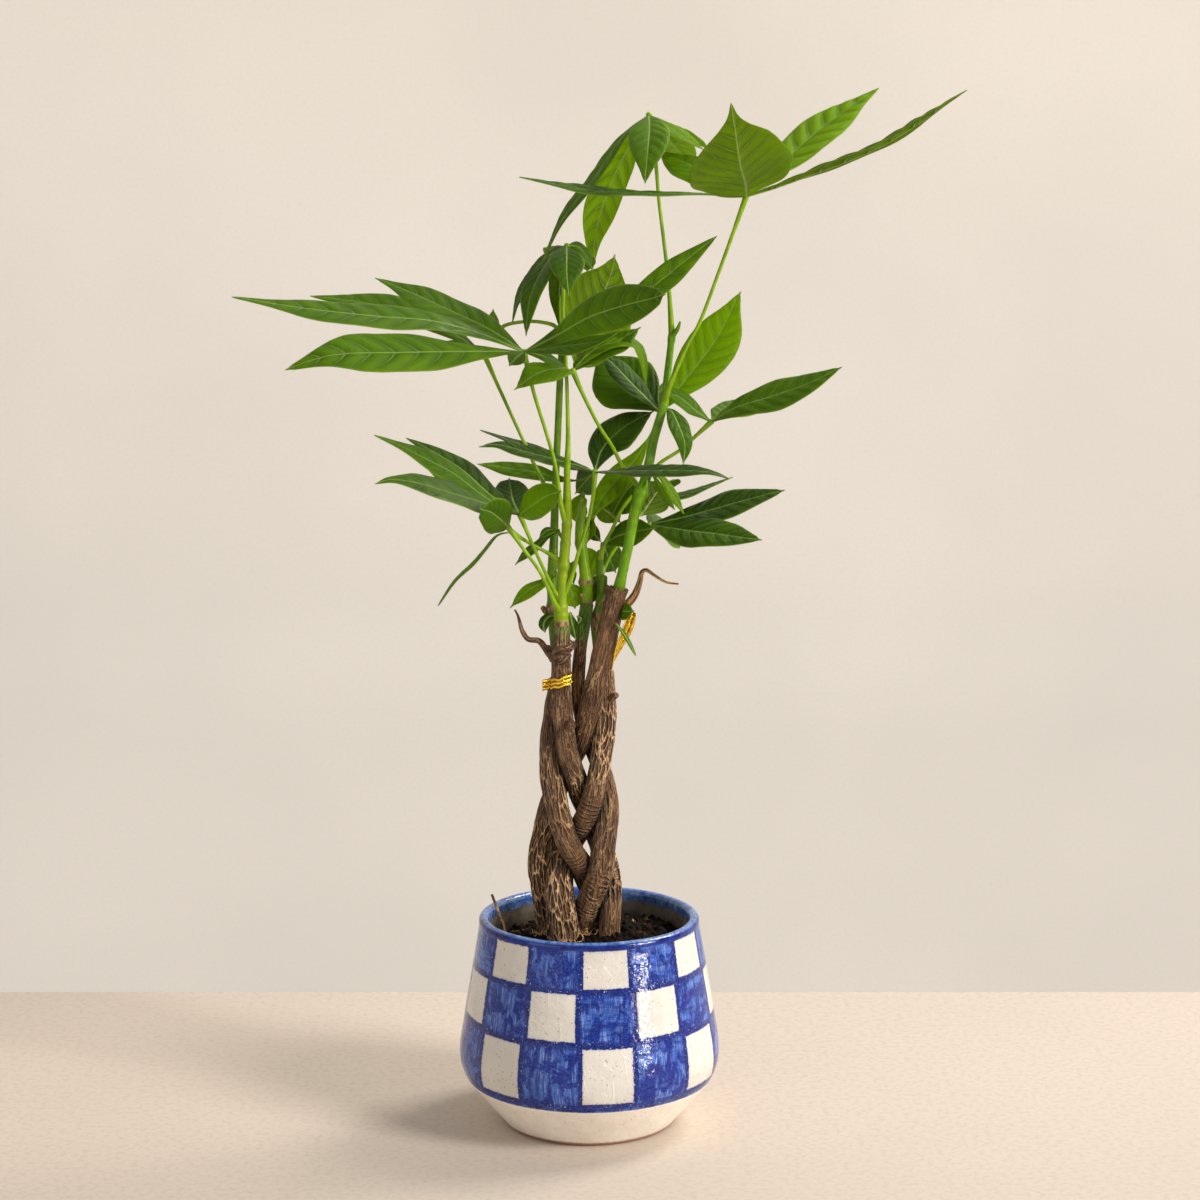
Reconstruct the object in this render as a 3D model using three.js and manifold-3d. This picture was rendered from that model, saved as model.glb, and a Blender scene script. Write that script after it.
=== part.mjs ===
// Potted money tree: five braided trunks with leafy shoots in a round painted pot.
// Millimetres, +Z up. The origin is the middle of the pot's flat foot.
import * as THREE from 'three';
import { mergeVertices } from 'three/addons/utils/BufferGeometryUtils.js';
import Module from 'manifold-3d';

const wasm = await Module();
wasm.setup();

// Driving dimensions
const POT = {
  footRadius: 48.3,
  shoulderHeight: 26.6,
  shoulderRadius: 70,
  bellyRadius: 74.3,
  bellyHeight: 45,
  beltBulge: [1.9, 7.6],
  beltSteps: 4,
  neckRadius: 62.6,
  neckHeight: 114,
  lipDepth: 4,
  rimRingRadius: 59.5,
  rimRingHeight: 117,
  rimTube: 3,
  rimArc: { from: -10, to: 190, step: 40 },
  wall: 6,
  floor: 8,
  haunch: 4,
  sides: 38,
};
const GAP = 0.3;
const SOIL_CLEARANCE = 0.6;
const WELD_WITHIN = 1e-4;
const SOIL_SIDES = 26;
const TRUNK_SIDES = 9;
const TRUNK_STEPS = 28;
const SHOOT_SIDES = 7;
const PETIOLE_SIDES = 5;
const BLADE_THICKNESS = 0.8;
const BLADE_FOLD = THREE.MathUtils.degToRad(14);
const BLADE_WAVE = { share: 0.02, pace: 9 };
const BLADE_OUTLINE = { skew: 1.15, fullness: 0.85, endHalf: 0.6 };
const BLADE_ROWS = [{ over: 105, rows: 7 }, { over: 52, rows: 5 }, { over: 0, rows: 4 }];
const PETIOLE_RADII = [1.5, 1.25, 1.1, 1.1, 2.1];
const HUB_LENGTH = 1.5;

// Where a thing stands is written as [u, v, y]: the line of sight through pixel (u, v) of the
// 1200 x 1200 view, at the depth y behind the pot's axis.
const VIEW = {
  eyeX: 6.2,
  eyeDistance: 1500,
  eyeHeight: 538.6,
  pitch: THREE.MathUtils.degToRad(9.03),
  focalPixels: 2726,
  centrePixel: 600,
};

function at([u, v, y]) {
  const right = (u - VIEW.centrePixel) / VIEW.focalPixels;
  const up = (VIEW.centrePixel - v) / VIEW.focalPixels;
  const forward = Math.cos(VIEW.pitch) + up * Math.sin(VIEW.pitch);
  const rise = up * Math.cos(VIEW.pitch) - Math.sin(VIEW.pitch);
  const reach = (y + VIEW.eyeDistance) / forward;
  return new THREE.Vector3(VIEW.eyeX + reach * right, y, VIEW.eyeHeight + reach * rise);
}

// Solids

function solidOf(geometry) {
  const bare = geometry.clone();
  for (const name of Object.keys(bare.attributes)) {
    if (name !== 'position') bare.deleteAttribute(name);
  }
  const merged = mergeVertices(bare, WELD_WITHIN);
  const mesh = new wasm.Mesh({
    numProp: 3,
    vertProperties: new Float32Array(merged.attributes.position.array),
    triVerts: new Uint32Array(merged.index.array),
  });
  return new wasm.Manifold(mesh);
}

function joined(geometries) {
  return geometries.map(solidOf).reduce((whole, next) => whole.add(next));
}

function geometryOf(solid) {
  const mesh = solid.getMesh();
  const geometry = new THREE.BufferGeometry();
  geometry.setAttribute('position', new THREE.BufferAttribute(mesh.vertProperties, 3));
  geometry.setIndex(new THREE.BufferAttribute(mesh.triVerts, 1));
  geometry.computeVertexNormals();
  return geometry;
}

// A cut can leave scraps beside the piece: the biggest body is the piece.
function withoutScraps(solid) {
  const bodies = solid.decompose();
  return bodies.reduce((best, body) => (body.volume() > best.volume() ? body : best));
}

// A round limb along a smooth line through points, with a radius for each place 0..1 on it.
function limb(points, radiusAt, sides, steps, extra = 0) {
  const curve = new THREE.CatmullRomCurve3(points, false, 'centripetal');
  const frames = curve.computeFrenetFrames(steps, false);
  const geometry = new THREE.CylinderGeometry(1, 1, 1, sides, steps);
  const position = geometry.attributes.position;
  const corner = new THREE.Vector3();
  for (let i = 0; i < position.count; i++) {
    const step = Math.round((position.getY(i) + 0.5) * steps);
    const along = step / steps;
    const radius = radiusAt(along) + extra;
    corner.copy(curve.getPointAt(along));
    corner.addScaledVector(frames.normals[step], position.getX(i) * radius);
    corner.addScaledVector(frames.binormals[step], -position.getZ(i) * radius);
    if (step === 0) corner.addScaledVector(frames.tangents[step], -extra);
    if (step === steps) corner.addScaledVector(frames.tangents[step], extra);
    position.setXYZ(i, corner.x, corner.y, corner.z);
  }
  return geometry;
}

// A radius that runs through evenly spaced values.
function along(...radii) {
  return (place) => {
    const slot = place * (radii.length - 1);
    const low = Math.min(Math.floor(slot), radii.length - 2);
    return THREE.MathUtils.lerp(radii[low], radii[low + 1], slot - low);
  };
}

// A thin closed sheet between an upper and a lower grid of points, split alike on both faces.
function sheet(upper, lower) {
  const rows = upper.length;
  const columns = upper[0].length;
  const points = [...upper.flat(), ...lower.flat()];
  const top = (row, column) => row * columns + column;
  const bottom = (row, column) => rows * columns + row * columns + column;
  const index = [];
  for (let row = 0; row + 1 < rows; row++) {
    for (let column = 0; column + 1 < columns; column++) {
      const corners = [[row, column], [row, column + 1], [row + 1, column + 1], [row + 1, column]];
      const [a, b, c, d] = corners.map((corner) => top(...corner));
      const [e, f, g, h] = corners.map((corner) => bottom(...corner));
      index.push(a, b, c, a, c, d, e, g, f, e, h, g);
    }
  }
  const rim = [];
  for (let column = 0; column + 1 < columns; column++) rim.push([0, column]);
  for (let row = 0; row + 1 < rows; row++) rim.push([row, columns - 1]);
  for (let column = columns - 1; column > 0; column--) rim.push([rows - 1, column]);
  for (let row = rows - 1; row > 0; row--) rim.push([row, 0]);
  rim.forEach((here, i) => {
    const next = rim[(i + 1) % rim.length];
    index.push(top(...here), bottom(...here), bottom(...next));
    index.push(top(...here), bottom(...next), top(...next));
  });
  const geometry = new THREE.BufferGeometry();
  const numbers = points.flatMap((point) => point.toArray());
  geometry.setAttribute('position', new THREE.Float32BufferAttribute(numbers, 3));
  geometry.setIndex(index);
  return geometry;
}

// Half of a leaflet's breadth, 0..1, at a place 0..1 from its foot to its tip.
function bladeBreadth(place, stalk) {
  const open = Math.max(0, (place - stalk) / (1 - stalk));
  return Math.sin(Math.PI * open ** BLADE_OUTLINE.skew) ** BLADE_OUTLINE.fullness;
}

// A leaflet along its midrib. The upper face looks at the eye at 0 degrees, up at 90, away at 180.
function blade(midrib, { width, face, stalk = 0 }, seed) {
  const curve = new THREE.CatmullRomCurve3(midrib, false, 'centripetal');
  const length = curve.getLength();
  const { rows } = BLADE_ROWS.find(({ over }) => length > over);
  const chord = midrib.at(-1).clone().sub(midrib[0]).normalize();
  const towardEye = new THREE.Vector3(0, -1, 0).addScaledVector(chord, chord.y).normalize();
  const sideways = new THREE.Vector3().crossVectors(chord, towardEye);
  if (sideways.z < 0) sideways.negate();
  const turn = THREE.MathUtils.degToRad(face);
  const normal = towardEye.multiplyScalar(Math.cos(turn)).addScaledVector(sideways, Math.sin(turn));
  const upper = [];
  const lower = [];
  for (let row = 0; row < rows; row++) {
    const place = row / (rows - 1);
    const centre = curve.getPointAt(place);
    const tangent = curve.getTangentAt(place);
    const up = normal.clone().addScaledVector(tangent, -normal.dot(tangent)).normalize();
    const across = new THREE.Vector3().crossVectors(tangent, up);
    const half = BLADE_OUTLINE.endHalf + 0.5 * width * bladeBreadth(place, stalk);
    const wave = BLADE_WAVE.share * width * Math.sin(BLADE_WAVE.pace * place + seed);
    const rises = [Math.tan(BLADE_FOLD) * half + wave, 0, Math.tan(BLADE_FOLD) * half - wave];
    const offset = (side, lift) => {
      return centre.clone().addScaledVector(across, side * half).addScaledVector(up, lift);
    };
    upper.push([-1, 0, 1].map((side, i) => offset(side, rises[i] + BLADE_THICKNESS / 2)));
    lower.push([-1, 0, 1].map((side, i) => offset(side, rises[i] - BLADE_THICKNESS / 2)));
  }
  return sheet(upper, lower);
}

// Pot

function potProfile() {
  const { rimRingRadius, rimRingHeight, rimTube, rimArc, wall, floor } = POT;
  const [bulgeOut, bulgeUp] = POT.beltBulge;
  const foot = new THREE.Vector2(POT.footRadius, 0);
  const shoulder = new THREE.Vector2(POT.shoulderRadius, POT.shoulderHeight);
  const belly = new THREE.Vector2(POT.bellyRadius, POT.bellyHeight);
  const corner = new THREE.Vector2(POT.bellyRadius + bulgeOut, POT.shoulderHeight + bulgeUp);
  const neck = new THREE.Vector2(POT.neckRadius, POT.neckHeight);
  const belt = new THREE.QuadraticBezierCurve(shoulder, corner, belly).getPoints(POT.beltSteps);
  const rim = [];
  for (let degrees = rimArc.from; degrees <= rimArc.to; degrees += rimArc.step) {
    const angle = THREE.MathUtils.degToRad(degrees);
    const x = rimRingRadius + rimTube * Math.cos(angle);
    rim.push(new THREE.Vector2(x, rimRingHeight + rimTube * Math.sin(angle)));
  }
  const inside = [
    new THREE.Vector2(neck.x - wall, neck.y - POT.lipDepth),
    new THREE.Vector2(belly.x - wall, belly.y),
    new THREE.Vector2(shoulder.x - wall, shoulder.y + POT.haunch),
    new THREE.Vector2(foot.x - wall, floor),
    new THREE.Vector2(0, floor),
  ];
  return [new THREE.Vector2(0, 0), foot, ...belt, neck, ...rim, ...inside];
}

function turned(profile, sides) {
  const geometry = new THREE.LatheGeometry(profile, sides);
  geometry.rotateX(Math.PI / 2);
  return geometry;
}

// Soil: highest among the trunks and a little higher at the back right
const SOIL = {
  edgeHeight: 100,
  mound: 10,
  reach: 58,
  tilt: [0.04, 0.04],
  lump: 0.7,
  lumpPace: [0.31, 0.27],
  rings: [1, 0.84, 0.66, 0.46, 0.22, 0],
};

function soilHeight(x, y) {
  const nearness = 1 - (x * x + y * y) / SOIL.reach ** 2;
  const lumps = SOIL.lump * Math.sin(SOIL.lumpPace[0] * x + 1) * Math.cos(SOIL.lumpPace[1] * y);
  return SOIL.edgeHeight + SOIL.mound * nearness + SOIL.tilt[0] * x + SOIL.tilt[1] * y + lumps;
}

function innerRadius(z) {
  const top = POT.neckHeight - POT.lipDepth;
  const place = (z - POT.bellyHeight) / (top - POT.bellyHeight);
  return THREE.MathUtils.lerp(POT.bellyRadius, POT.neckRadius, place) - POT.wall;
}

function soilPlug() {
  const foot = POT.footRadius - POT.wall;
  const shoulder = POT.shoulderRadius - POT.wall;
  const clear = SOIL_CLEARANCE;
  const profile = [
    new THREE.Vector2(0, POT.floor + clear),
    new THREE.Vector2(foot - clear, POT.floor + clear),
    new THREE.Vector2(shoulder - clear, POT.shoulderHeight + POT.haunch),
    new THREE.Vector2(innerRadius(POT.bellyHeight) - clear, POT.bellyHeight),
    ...SOIL.rings.map((share) => new THREE.Vector2(share * POT.neckRadius, POT.neckHeight)),
  ];
  const geometry = turned(profile, SOIL_SIDES);
  const position = geometry.attributes.position;
  for (let i = 0; i < position.count; i++) {
    if (position.getZ(i) < POT.neckHeight - 1) continue;
    let [x, y] = [position.getX(i), position.getY(i)];
    const shrink = (innerRadius(soilHeight(x, y)) - clear) / POT.neckRadius;
    x *= shrink;
    y *= shrink;
    position.setXYZ(i, x, y, soilHeight(x, y));
  }
  return geometry;
}

// Trunks: [u, v, y] from the top down, with the radii from the top down.
// A lower y is nearer to the eye, so it says which trunk passes over which.
const TRUNKS = {
  trunk_a: {
    path: [
      [562, 626, -2], [561, 660, -6], [561, 687, -7], [561, 714, -7], [565, 740, -8], [570, 758, -7],
      [575, 777, -3], [581, 795, 3], [587, 813, 7], [595, 832, 7], [604, 850, 6], [611, 868, 3],
      [613, 885, 0], [612, 900, -4], [610, 919, -7], [608, 935, -8], [608, 962, -8],
    ],
    radii: [4.1, 4.6, 4.9, 5.3, 5.7, 5.7, 5.5, 5.2, 5.2],
  },
  trunk_b: {
    path: [
      [587, 604, 6], [581, 640, 3], [577, 669, 1], [576, 687, 1], [577, 705, 2], [577, 720, 5],
      [583, 738, 9], [597, 755, 9], [608, 770, 4], [610, 787, 0], [609.5, 800, -2], [609, 825, -5],
      [605.5, 845, -7], [602, 860, -7], [596, 879, -7], [587, 898, -6], [581, 914, -2],
      [577, 932, 3], [576, 962, 5],
    ],
    radii: [3.3, 3.1, 3.4, 4.0, 4.8, 5.8, 6.2, 6.2, 6.3],
  },
  trunk_c: {
    path: [
      [617, 589, -4], [611, 620, -4], [604, 650, -5], [598, 669, -6], [594.5, 687, -6], [590, 713, -6],
      [585, 731, -3], [577, 750, 3], [568, 765, 8], [559, 778, 9], [552, 792, 7], [547.5, 808, 3],
      [545, 834, 1], [544.5, 859, 3], [545, 884, 5], [548, 904, 6], [550, 920, 7], [551, 935, 7],
      [551, 962, 7],
    ],
    radii: [5.2, 5.2, 5.3, 5.4, 5.6, 5.8, 6.2, 6.5, 6.8],
  },
  trunk_d: {
    path: [
      [604, 672, 8], [606, 690, 5], [606, 708, 2], [606, 724, -2], [604, 745, -5], [600, 770, -8],
      [595.5, 790, -8], [589, 810, -8], [583, 824, -4], [574, 839, 3], [564, 853, 6], [558, 868, 0],
      [559, 888, -6], [564, 907, -9], [568.5, 923, -10], [570, 940, -10], [570, 962, -10],
    ],
    radii: [4.6, 5.0, 5.0, 5.3, 5.4, 5.6, 5.8, 6.2, 6.6],
  },
  trunk_e: {
    path: [
      [553, 612, 9], [554, 640, 9], [558, 665, 8], [561, 690, 8], [556, 708, 6], [551, 723, 3],
      [548.5, 740, 0], [548.5, 758, -4], [550, 776, -7], [552, 790, -8], [559, 820, -8],
      [566, 835, -8], [571.5, 849, -7], [577, 864, -3], [584, 876, 3], [594, 890, 8],
      [602, 905, 9], [604, 935, 10], [604, 962, 10],
    ],
    radii: [3.6, 4.6, 5.3, 5.7, 5.7, 5.8, 5.8, 5.8, 6.0],
  },
};
const BRAID_ROUNDS = 160;
const BRAID_CLEARANCE = 0.7;
const BRAID_SMOOTHING = 0.12;

// The trunks lie closely on each other: they are pushed sideways until no pair overlaps.
function braidedLines() {
  const names = Object.keys(TRUNKS);
  const lines = names.map((name) => {
    const curve = new THREE.CatmullRomCurve3(TRUNKS[name].path.map(at), false, 'centripetal');
    return curve.getSpacedPoints(2 * TRUNK_STEPS);
  });
  const radii = names.map((name) => along(...TRUNKS[name].radii));
  const apart = new THREE.Vector3();
  for (let round = 0; round < BRAID_ROUNDS; round++) {
    for (const line of lines) {
      const before = line.map((point) => point.clone());
      for (let i = 1; i + 1 < line.length; i++) {
        line[i].x += BRAID_SMOOTHING * ((before[i - 1].x + before[i + 1].x) / 2 - before[i].x);
        line[i].y += BRAID_SMOOTHING * ((before[i - 1].y + before[i + 1].y) / 2 - before[i].y);
      }
    }
    for (let one = 0; one < lines.length; one++) {
      for (let other = one + 1; other < lines.length; other++) {
        lines[one].forEach((here, i) => lines[other].forEach((there, j) => {
          const need = radii[one](i / (lines[one].length - 1))
            + radii[other](j / (lines[other].length - 1)) + BRAID_CLEARANCE;
          const short = need - here.distanceTo(there);
          if (short <= 0) return;
          apart.subVectors(here, there).setZ(0).normalize().multiplyScalar(short / 2);
          here.add(apart);
          there.sub(apart);
        }));
      }
    }
  }
  return Object.fromEntries(names.map((name, i) => [name, lines[i].filter((_, k) => k % 2 === 0)]));
}

// Dead dry stalks that grew on a trunk
const DEAD_STALKS = {
  trunk_e: {
    path: [
      [556, 657, 7], [550, 655, 3], [545, 648, 2], [539, 641, 2], [528, 639, 1], [522, 630, 0],
      [518, 616, 0], [515, 610, 0],
    ],
    radii: [1.3, 1.0, 0.9],
  },
  trunk_c: {
    path: [
      [614, 609, -4], [628, 603, -3], [635, 594, -3], [640, 580, -3], [642, 572, -3], [646, 570, -3],
      [654, 575, -4], [666, 582, -5], [678, 584, -6],
    ],
    radii: [1.5, 1.5, 1.2, 0.9],
  },
};

// Green shoots: [u, v, y] from the foot up
const SHOOTS = {
  shoot_a: {
    trunk: 'trunk_a',
    path: [[562, 630, -2], [561, 600, -3], [564, 560, -3], [567, 520, -4], [567, 495, -5], [567, 470, -7]],
    radii: [3.6, 3.3, 3.0, 2.7, 2.5, 1.6],
  },
  shoot_b: {
    trunk: 'trunk_b',
    path: [[587, 608, 6], [586.5, 586, 6], [583, 558, 6], [580, 535, 8], [581, 515, 11], [584, 500, 13]],
    radii: [3.1, 3.5, 3.0, 3.1, 2.6, 1.9],
  },
  shoot_c: {
    trunk: 'trunk_c',
    path: [
      [618, 593, -4], [622, 575, -5], [628.7, 544, -6], [635.7, 509, -6], [641.5, 491, -6], [646, 477, -5],
      [654, 439, -4], [664, 403, -4], [668, 370, -3], [672, 334, 0],
    ],
    radii: [3.0, 2.8, 2.9, 3.1, 2.8, 2.5, 2.3, 2.0, 1.8],
  },
  shoot_d: {
    trunk: 'trunk_d',
    path: [[604, 675, 8], [598, 645, 9], [596, 620, 9], [601, 598, 9], [600, 575, 9], [600, 552, 8]],
    radii: [3.2, 2.9, 2.8, 2.4, 2.1, 1.8],
  },
  shoot_e: {
    trunk: 'trunk_e',
    path: [
      [553, 616, 9], [552, 590, 10], [552, 575, 11], [554, 540, 11], [555, 500, 14], [556.5, 460, 18],
      [557.5, 440, 18], [560, 380, 17], [562, 340, 16],
    ],
    radii: [2.8, 2.4, 2.1, 2.0, 2.0, 1.9, 1.7],
  },
};

// Compound leaves. The stalk runs from inside its shoot to the hub, where the leaflets start.
const LEAVES = {
  leaf_crown_right: {
    shoot: 'shoot_c',
    stalk: [
      [664, 404, -4], [669, 388, -8], [687, 346, -10], [699, 324, -10], [720, 269, -9],
      [746, 197, -8],
    ],
    leaflets: [
      { to: [[700, 189, -15], [650, 188, -22], [580, 181, -26], [519, 177, -28]], width: 28, face: 80 },
      { to: [[747, 181, -38], [744, 158, -66], [738, 126, -92], [732, 103, -110]], width: 54, face: 178 },
      { to: [[785, 164, 16], [830, 126, 42], [879, 88, 66]], width: 34, face: 52 },
      { to: [[800, 180, -10], [880, 145, -12], [967, 88, -14]], width: 30, face: 102 },
      { to: [[719, 184, 14], [694, 167, 36], [657, 151, 62]], width: 32, face: 55 },
      { to: [[752, 168, 50], [756, 140, 98]], width: 30, face: 60 },
    ],
  },
  leaf_crown_top: {
    shoot: 'shoot_c',
    stalk: [[672, 337, 0], [669, 290, 3], [666, 259, 5], [659, 200, 9], [655, 154, 11], [649, 115, 12]],
    leaflets: [
      { to: [[622, 134, 8], [592, 176, 2], [562, 218, -4], [542, 262, -8]], width: 22, face: 72 },
      { to: [[624, 146, 30], [600, 196, 46], [590, 238, 52], [592, 272, 54]], width: 32, face: 122 },
      { to: [[650, 126, -16], [648, 150, -40], [645, 184, -55]], width: 21, face: 8 },
      { to: [[675, 124, 4], [704, 149, -2]], width: 20, face: 70 },
      { to: [[668, 130, 52], [684, 148, 84], [697, 164, 104]], width: 28, face: 130 },
      { to: [[680, 121, 36], [711, 140, 62]], width: 22, face: 105 },
    ],
  },
  leaf_left_wide: {
    shoot: 'shoot_a',
    stalk: [
      [566, 524, -4], [561, 505, -9], [556, 469, -14], [550, 445, -15], [533, 390, -16],
      [524, 352, -16],
    ],
    leaflets: [
      {
        to: [[480, 334, -24], [430, 320, -36], [380, 316, -46], [300, 308, -56], [232, 297, -62]],
        width: 34, face: 62,
      },
      { to: [[470, 351, -42], [400, 354, -66], [330, 358, -84], [285, 370, -92]], width: 40, face: 54 },
      { to: [[490, 326, 0], [440, 301, 12], [400, 286, 18], [375, 278, 22]], width: 30, face: 62 },
      {
        to: [[556, 336, -42], [590, 317, -70], [626, 305, -94], [650, 299, -108], [666, 294, -114]],
        width: 21, face: 20,
      },
      { to: [[580, 325, -22], [640, 292, -22], [680, 263, -19], [717, 236, -17]], width: 26, face: 35 },
      { to: [[560, 347, -28], [598, 341, -40], [622, 330, -44]], width: 22, face: 74 },
      { to: [[516, 358, -34], [509, 366, -46]], width: 9, face: 20 },
      { to: [[545, 357, -7], [567, 367, 2]], width: 16, face: 72 },
    ],
  },
  leaf_middle: {
    shoot: 'shoot_c',
    stalk: [
      [641, 491, -6], [634, 480, 0], [623, 467, 3], [612, 446, -2], [599, 426, -8],
      [581, 390, -12], [573, 371, -12],
    ],
    leaflets: [
      {
        to: [[582, 352, 3], [590, 330, 9], [600, 300, 15], [610, 275, 19], [615, 254, 22]],
        width: 40, face: 155, stalk: 0.06,
      },
      { to: [[605, 350, -2], [641, 327, 8]], width: 22, face: 60 },
      { to: [[561, 369, -30], [540, 373, -39], [514, 390, -45]], width: 22, face: 62, stalk: 0.12 },
      { to: [[586, 361, -3], [597, 351, 5]], width: 14, face: 60 },
      {
        to: [[595, 350, -5], [615, 343, -2], [634, 344, 0], [642, 356, 0], [646, 386, 0]],
        width: 16, face: 78,
      },
    ],
  },
  leaf_behind: {
    shoot: 'shoot_b',
    stalk: [[583, 545, 6], [592, 520, 14], [604, 494, 20], [632, 464, 22], [655, 430, 16], [660, 412, 12]],
    leaflets: [
      { to: [[640, 395, 26], [615, 374, 40], [596, 353, 50]], width: 36, face: 22 },
      { to: [[646, 398, 15], [630, 382, 19], [614, 365, 23], [597, 351, 27]], width: 17, face: 52 },
      { to: [[640, 384, 42], [622, 364, 60], [604, 348, 70]], width: 34, face: 30 },
      { to: [[690, 369, 20], [715, 335, 28], [741, 291, 34]], width: 28, face: 22 },
      {
        to: [[666, 408, 6], [676, 409, -3], [686, 425, -15], [691, 445, -18], [684, 465, -19]],
        width: 11, face: 30, stalk: 0.15,
      },
      { to: [[674, 392, 52], [692, 366, 98]], width: 28, face: 62 },
      {
        to: [[651, 434, 12], [637, 458, 12], [617, 480, 8], [600, 502, 3], [590, 520, -1]],
        width: 14, face: 24, stalk: 0.2,
      },
    ],
  },
  leaf_heart: {
    shoot: 'shoot_a',
    stalk: [
      [565, 592, -3], [572, 576, -5], [578, 554, -6], [587, 525, -4], [591, 509, -3],
      [594, 488, 0], [595, 472, 2],
    ],
    leaflets: [
      {
        to: [[578, 466, 4], [556, 460, 4.5], [525, 452, 2], [497, 445, 0], [479, 447, -2]],
        width: 18, face: 72,
      },
      { to: [[576, 466, 28], [540, 448, 43], [505, 436, 47], [479, 429, 49]], width: 22, face: 72 },
      {
        to: [[613, 472, -12], [650, 471, -26], [690, 471, -40], [712, 473, -47], [730, 479, -51]],
        width: 24, face: 76,
      },
      { to: [[585, 482, 24], [575, 494, 34]], width: 16, face: 30 },
      { to: [[604, 447, 16], [625, 427, 22], [654, 411, 28]], width: 24, face: 40 },
      {
        to: [[580, 480, 22], [564, 480, 28], [538, 473, 30], [505, 468, 30], [477, 464, 30]],
        width: 14, face: 58, stalk: 0.32,
      },
    ],
  },
  leaf_right: {
    shoot: 'shoot_c',
    stalk: [[642, 490, -6], [650, 476, 2], [659, 464, 2], [680, 450, 0], [699, 433, 0], [711, 422, 0]],
    leaflets: [
      { to: [[736, 405, -12], [771, 395, -19], [808, 384, -24], [842, 367, -26]], width: 30, face: 60 },
      { to: [[692, 410, 4], [674, 399, 5], [655, 385, 5]], width: 8, face: 58 },
      { to: [[735, 410, 34], [765, 398, 76]], width: 28, face: 74 },
    ],
  },
  leaf_low_left: {
    shoot: 'shoot_a',
    stalk: [[562, 601, -3], [556, 594, -5], [546, 574, -9], [531, 541, -13], [520, 515, -15]],
    leaflets: [
      {
        to: [[487, 499, -26], [452, 473, -38], [425, 459, -46], [400, 446, -52], [374, 435, -56]],
        width: 28, face: 70,
      },
      { to: [[490, 493, 0], [462, 467, 8], [435, 450, 14], [406, 438, 18]], width: 26, face: 62 },
      {
        to: [[476, 501, -44], [443, 491, -66], [415, 483, -78], [390, 480, -86], [375, 484, -90]],
        width: 26, face: 72,
      },
      { to: [[480, 498, -8], [440, 473, -4], [412, 455, -2]], width: 16, face: 66 },
      { to: [[535, 504, -36], [552, 491, -52], [563, 486, -60]], width: 17, face: 18 },
      { to: [[513, 500, 8], [510, 480, 34]], width: 22, face: 24 },
    ],
  },
  leaf_low_left_lower: {
    shoot: 'shoot_a',
    stalk: [[561, 614, -3], [555, 603, -9], [540, 572, -17], [525, 551, -20], [508, 527, -21]],
    leaflets: [
      { to: [[499, 515, -46], [489, 507, -62], [480, 504, -72]], width: 18, face: 18 },
      { to: [[499, 521, -6], [489, 516, 22]], width: 14, face: 74 },
    ],
  },
  leaf_thin_left: {
    shoot: 'shoot_a',
    stalk: [[563, 563, -3], [546, 552, -2], [533, 545, -5], [521, 538, -12], [512, 532, -14]],
    leaflets: [
      {
        to: [[498, 535, -18], [485, 550, -26], [473, 564, -31], [455, 581, -36], [438, 606, -40]],
        width: 15, face: 70,
      },
    ],
  },
  leaf_right_pale: {
    shoot: 'shoot_d',
    stalk: [[600, 558, 8], [603, 547, 6], [611, 532, 5], [622, 509, 6], [633, 495, 8]],
    leaflets: [
      { to: [[650, 490, 28], [664, 496, 54]], width: 32, face: 130 },
      { to: [[645, 506, 18], [679, 497, 32], [733, 477, 45]], width: 20, face: 76 },
    ],
  },
  leaf_right_low: {
    shoot: 'shoot_d',
    stalk: [[600, 578, 9], [605, 566, 13], [612, 553, 15], [623, 539, 16], [637, 530, 17], [649, 525, 17]],
    leaflets: [
      {
        to: [[683, 516, 8], [715, 507, 0], [740, 500, -5], [766, 493, -9], [785, 490, -11]],
        width: 32, face: 60,
      },
      { to: [[689, 530, -10], [715, 532, -24], [747, 538, -36], [762, 540, -40]], width: 30, face: 58 },
      { to: [[660, 530, 50], [680, 532, 90]], width: 26, face: 75 },
    ],
  },
  leaf_right_inner: {
    shoot: 'shoot_d',
    stalk: [[600, 566, 9], [600, 556, 14], [603, 545, 15]],
    leaflets: [
      { to: [[610, 555, 20], [614, 571, 22]], width: 11, face: 30 },
      { to: [[616, 537, 8], [634, 532, 3], [656, 528, -5]], width: 15, face: 28 },
    ],
  },
  leaf_umbrella: {
    shoot: 'shoot_a',
    stalk: [
      [567, 473, -7], [568, 440, -8], [567, 390, -9], [565, 345, -11], [563, 300, -9],
      [567, 246, -6],
    ],
    leaflets: [
      {
        to: [[556, 249, -2], [535, 264, 6], [522, 281, 10], [515, 299, 12], [511, 324, 13]],
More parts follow.
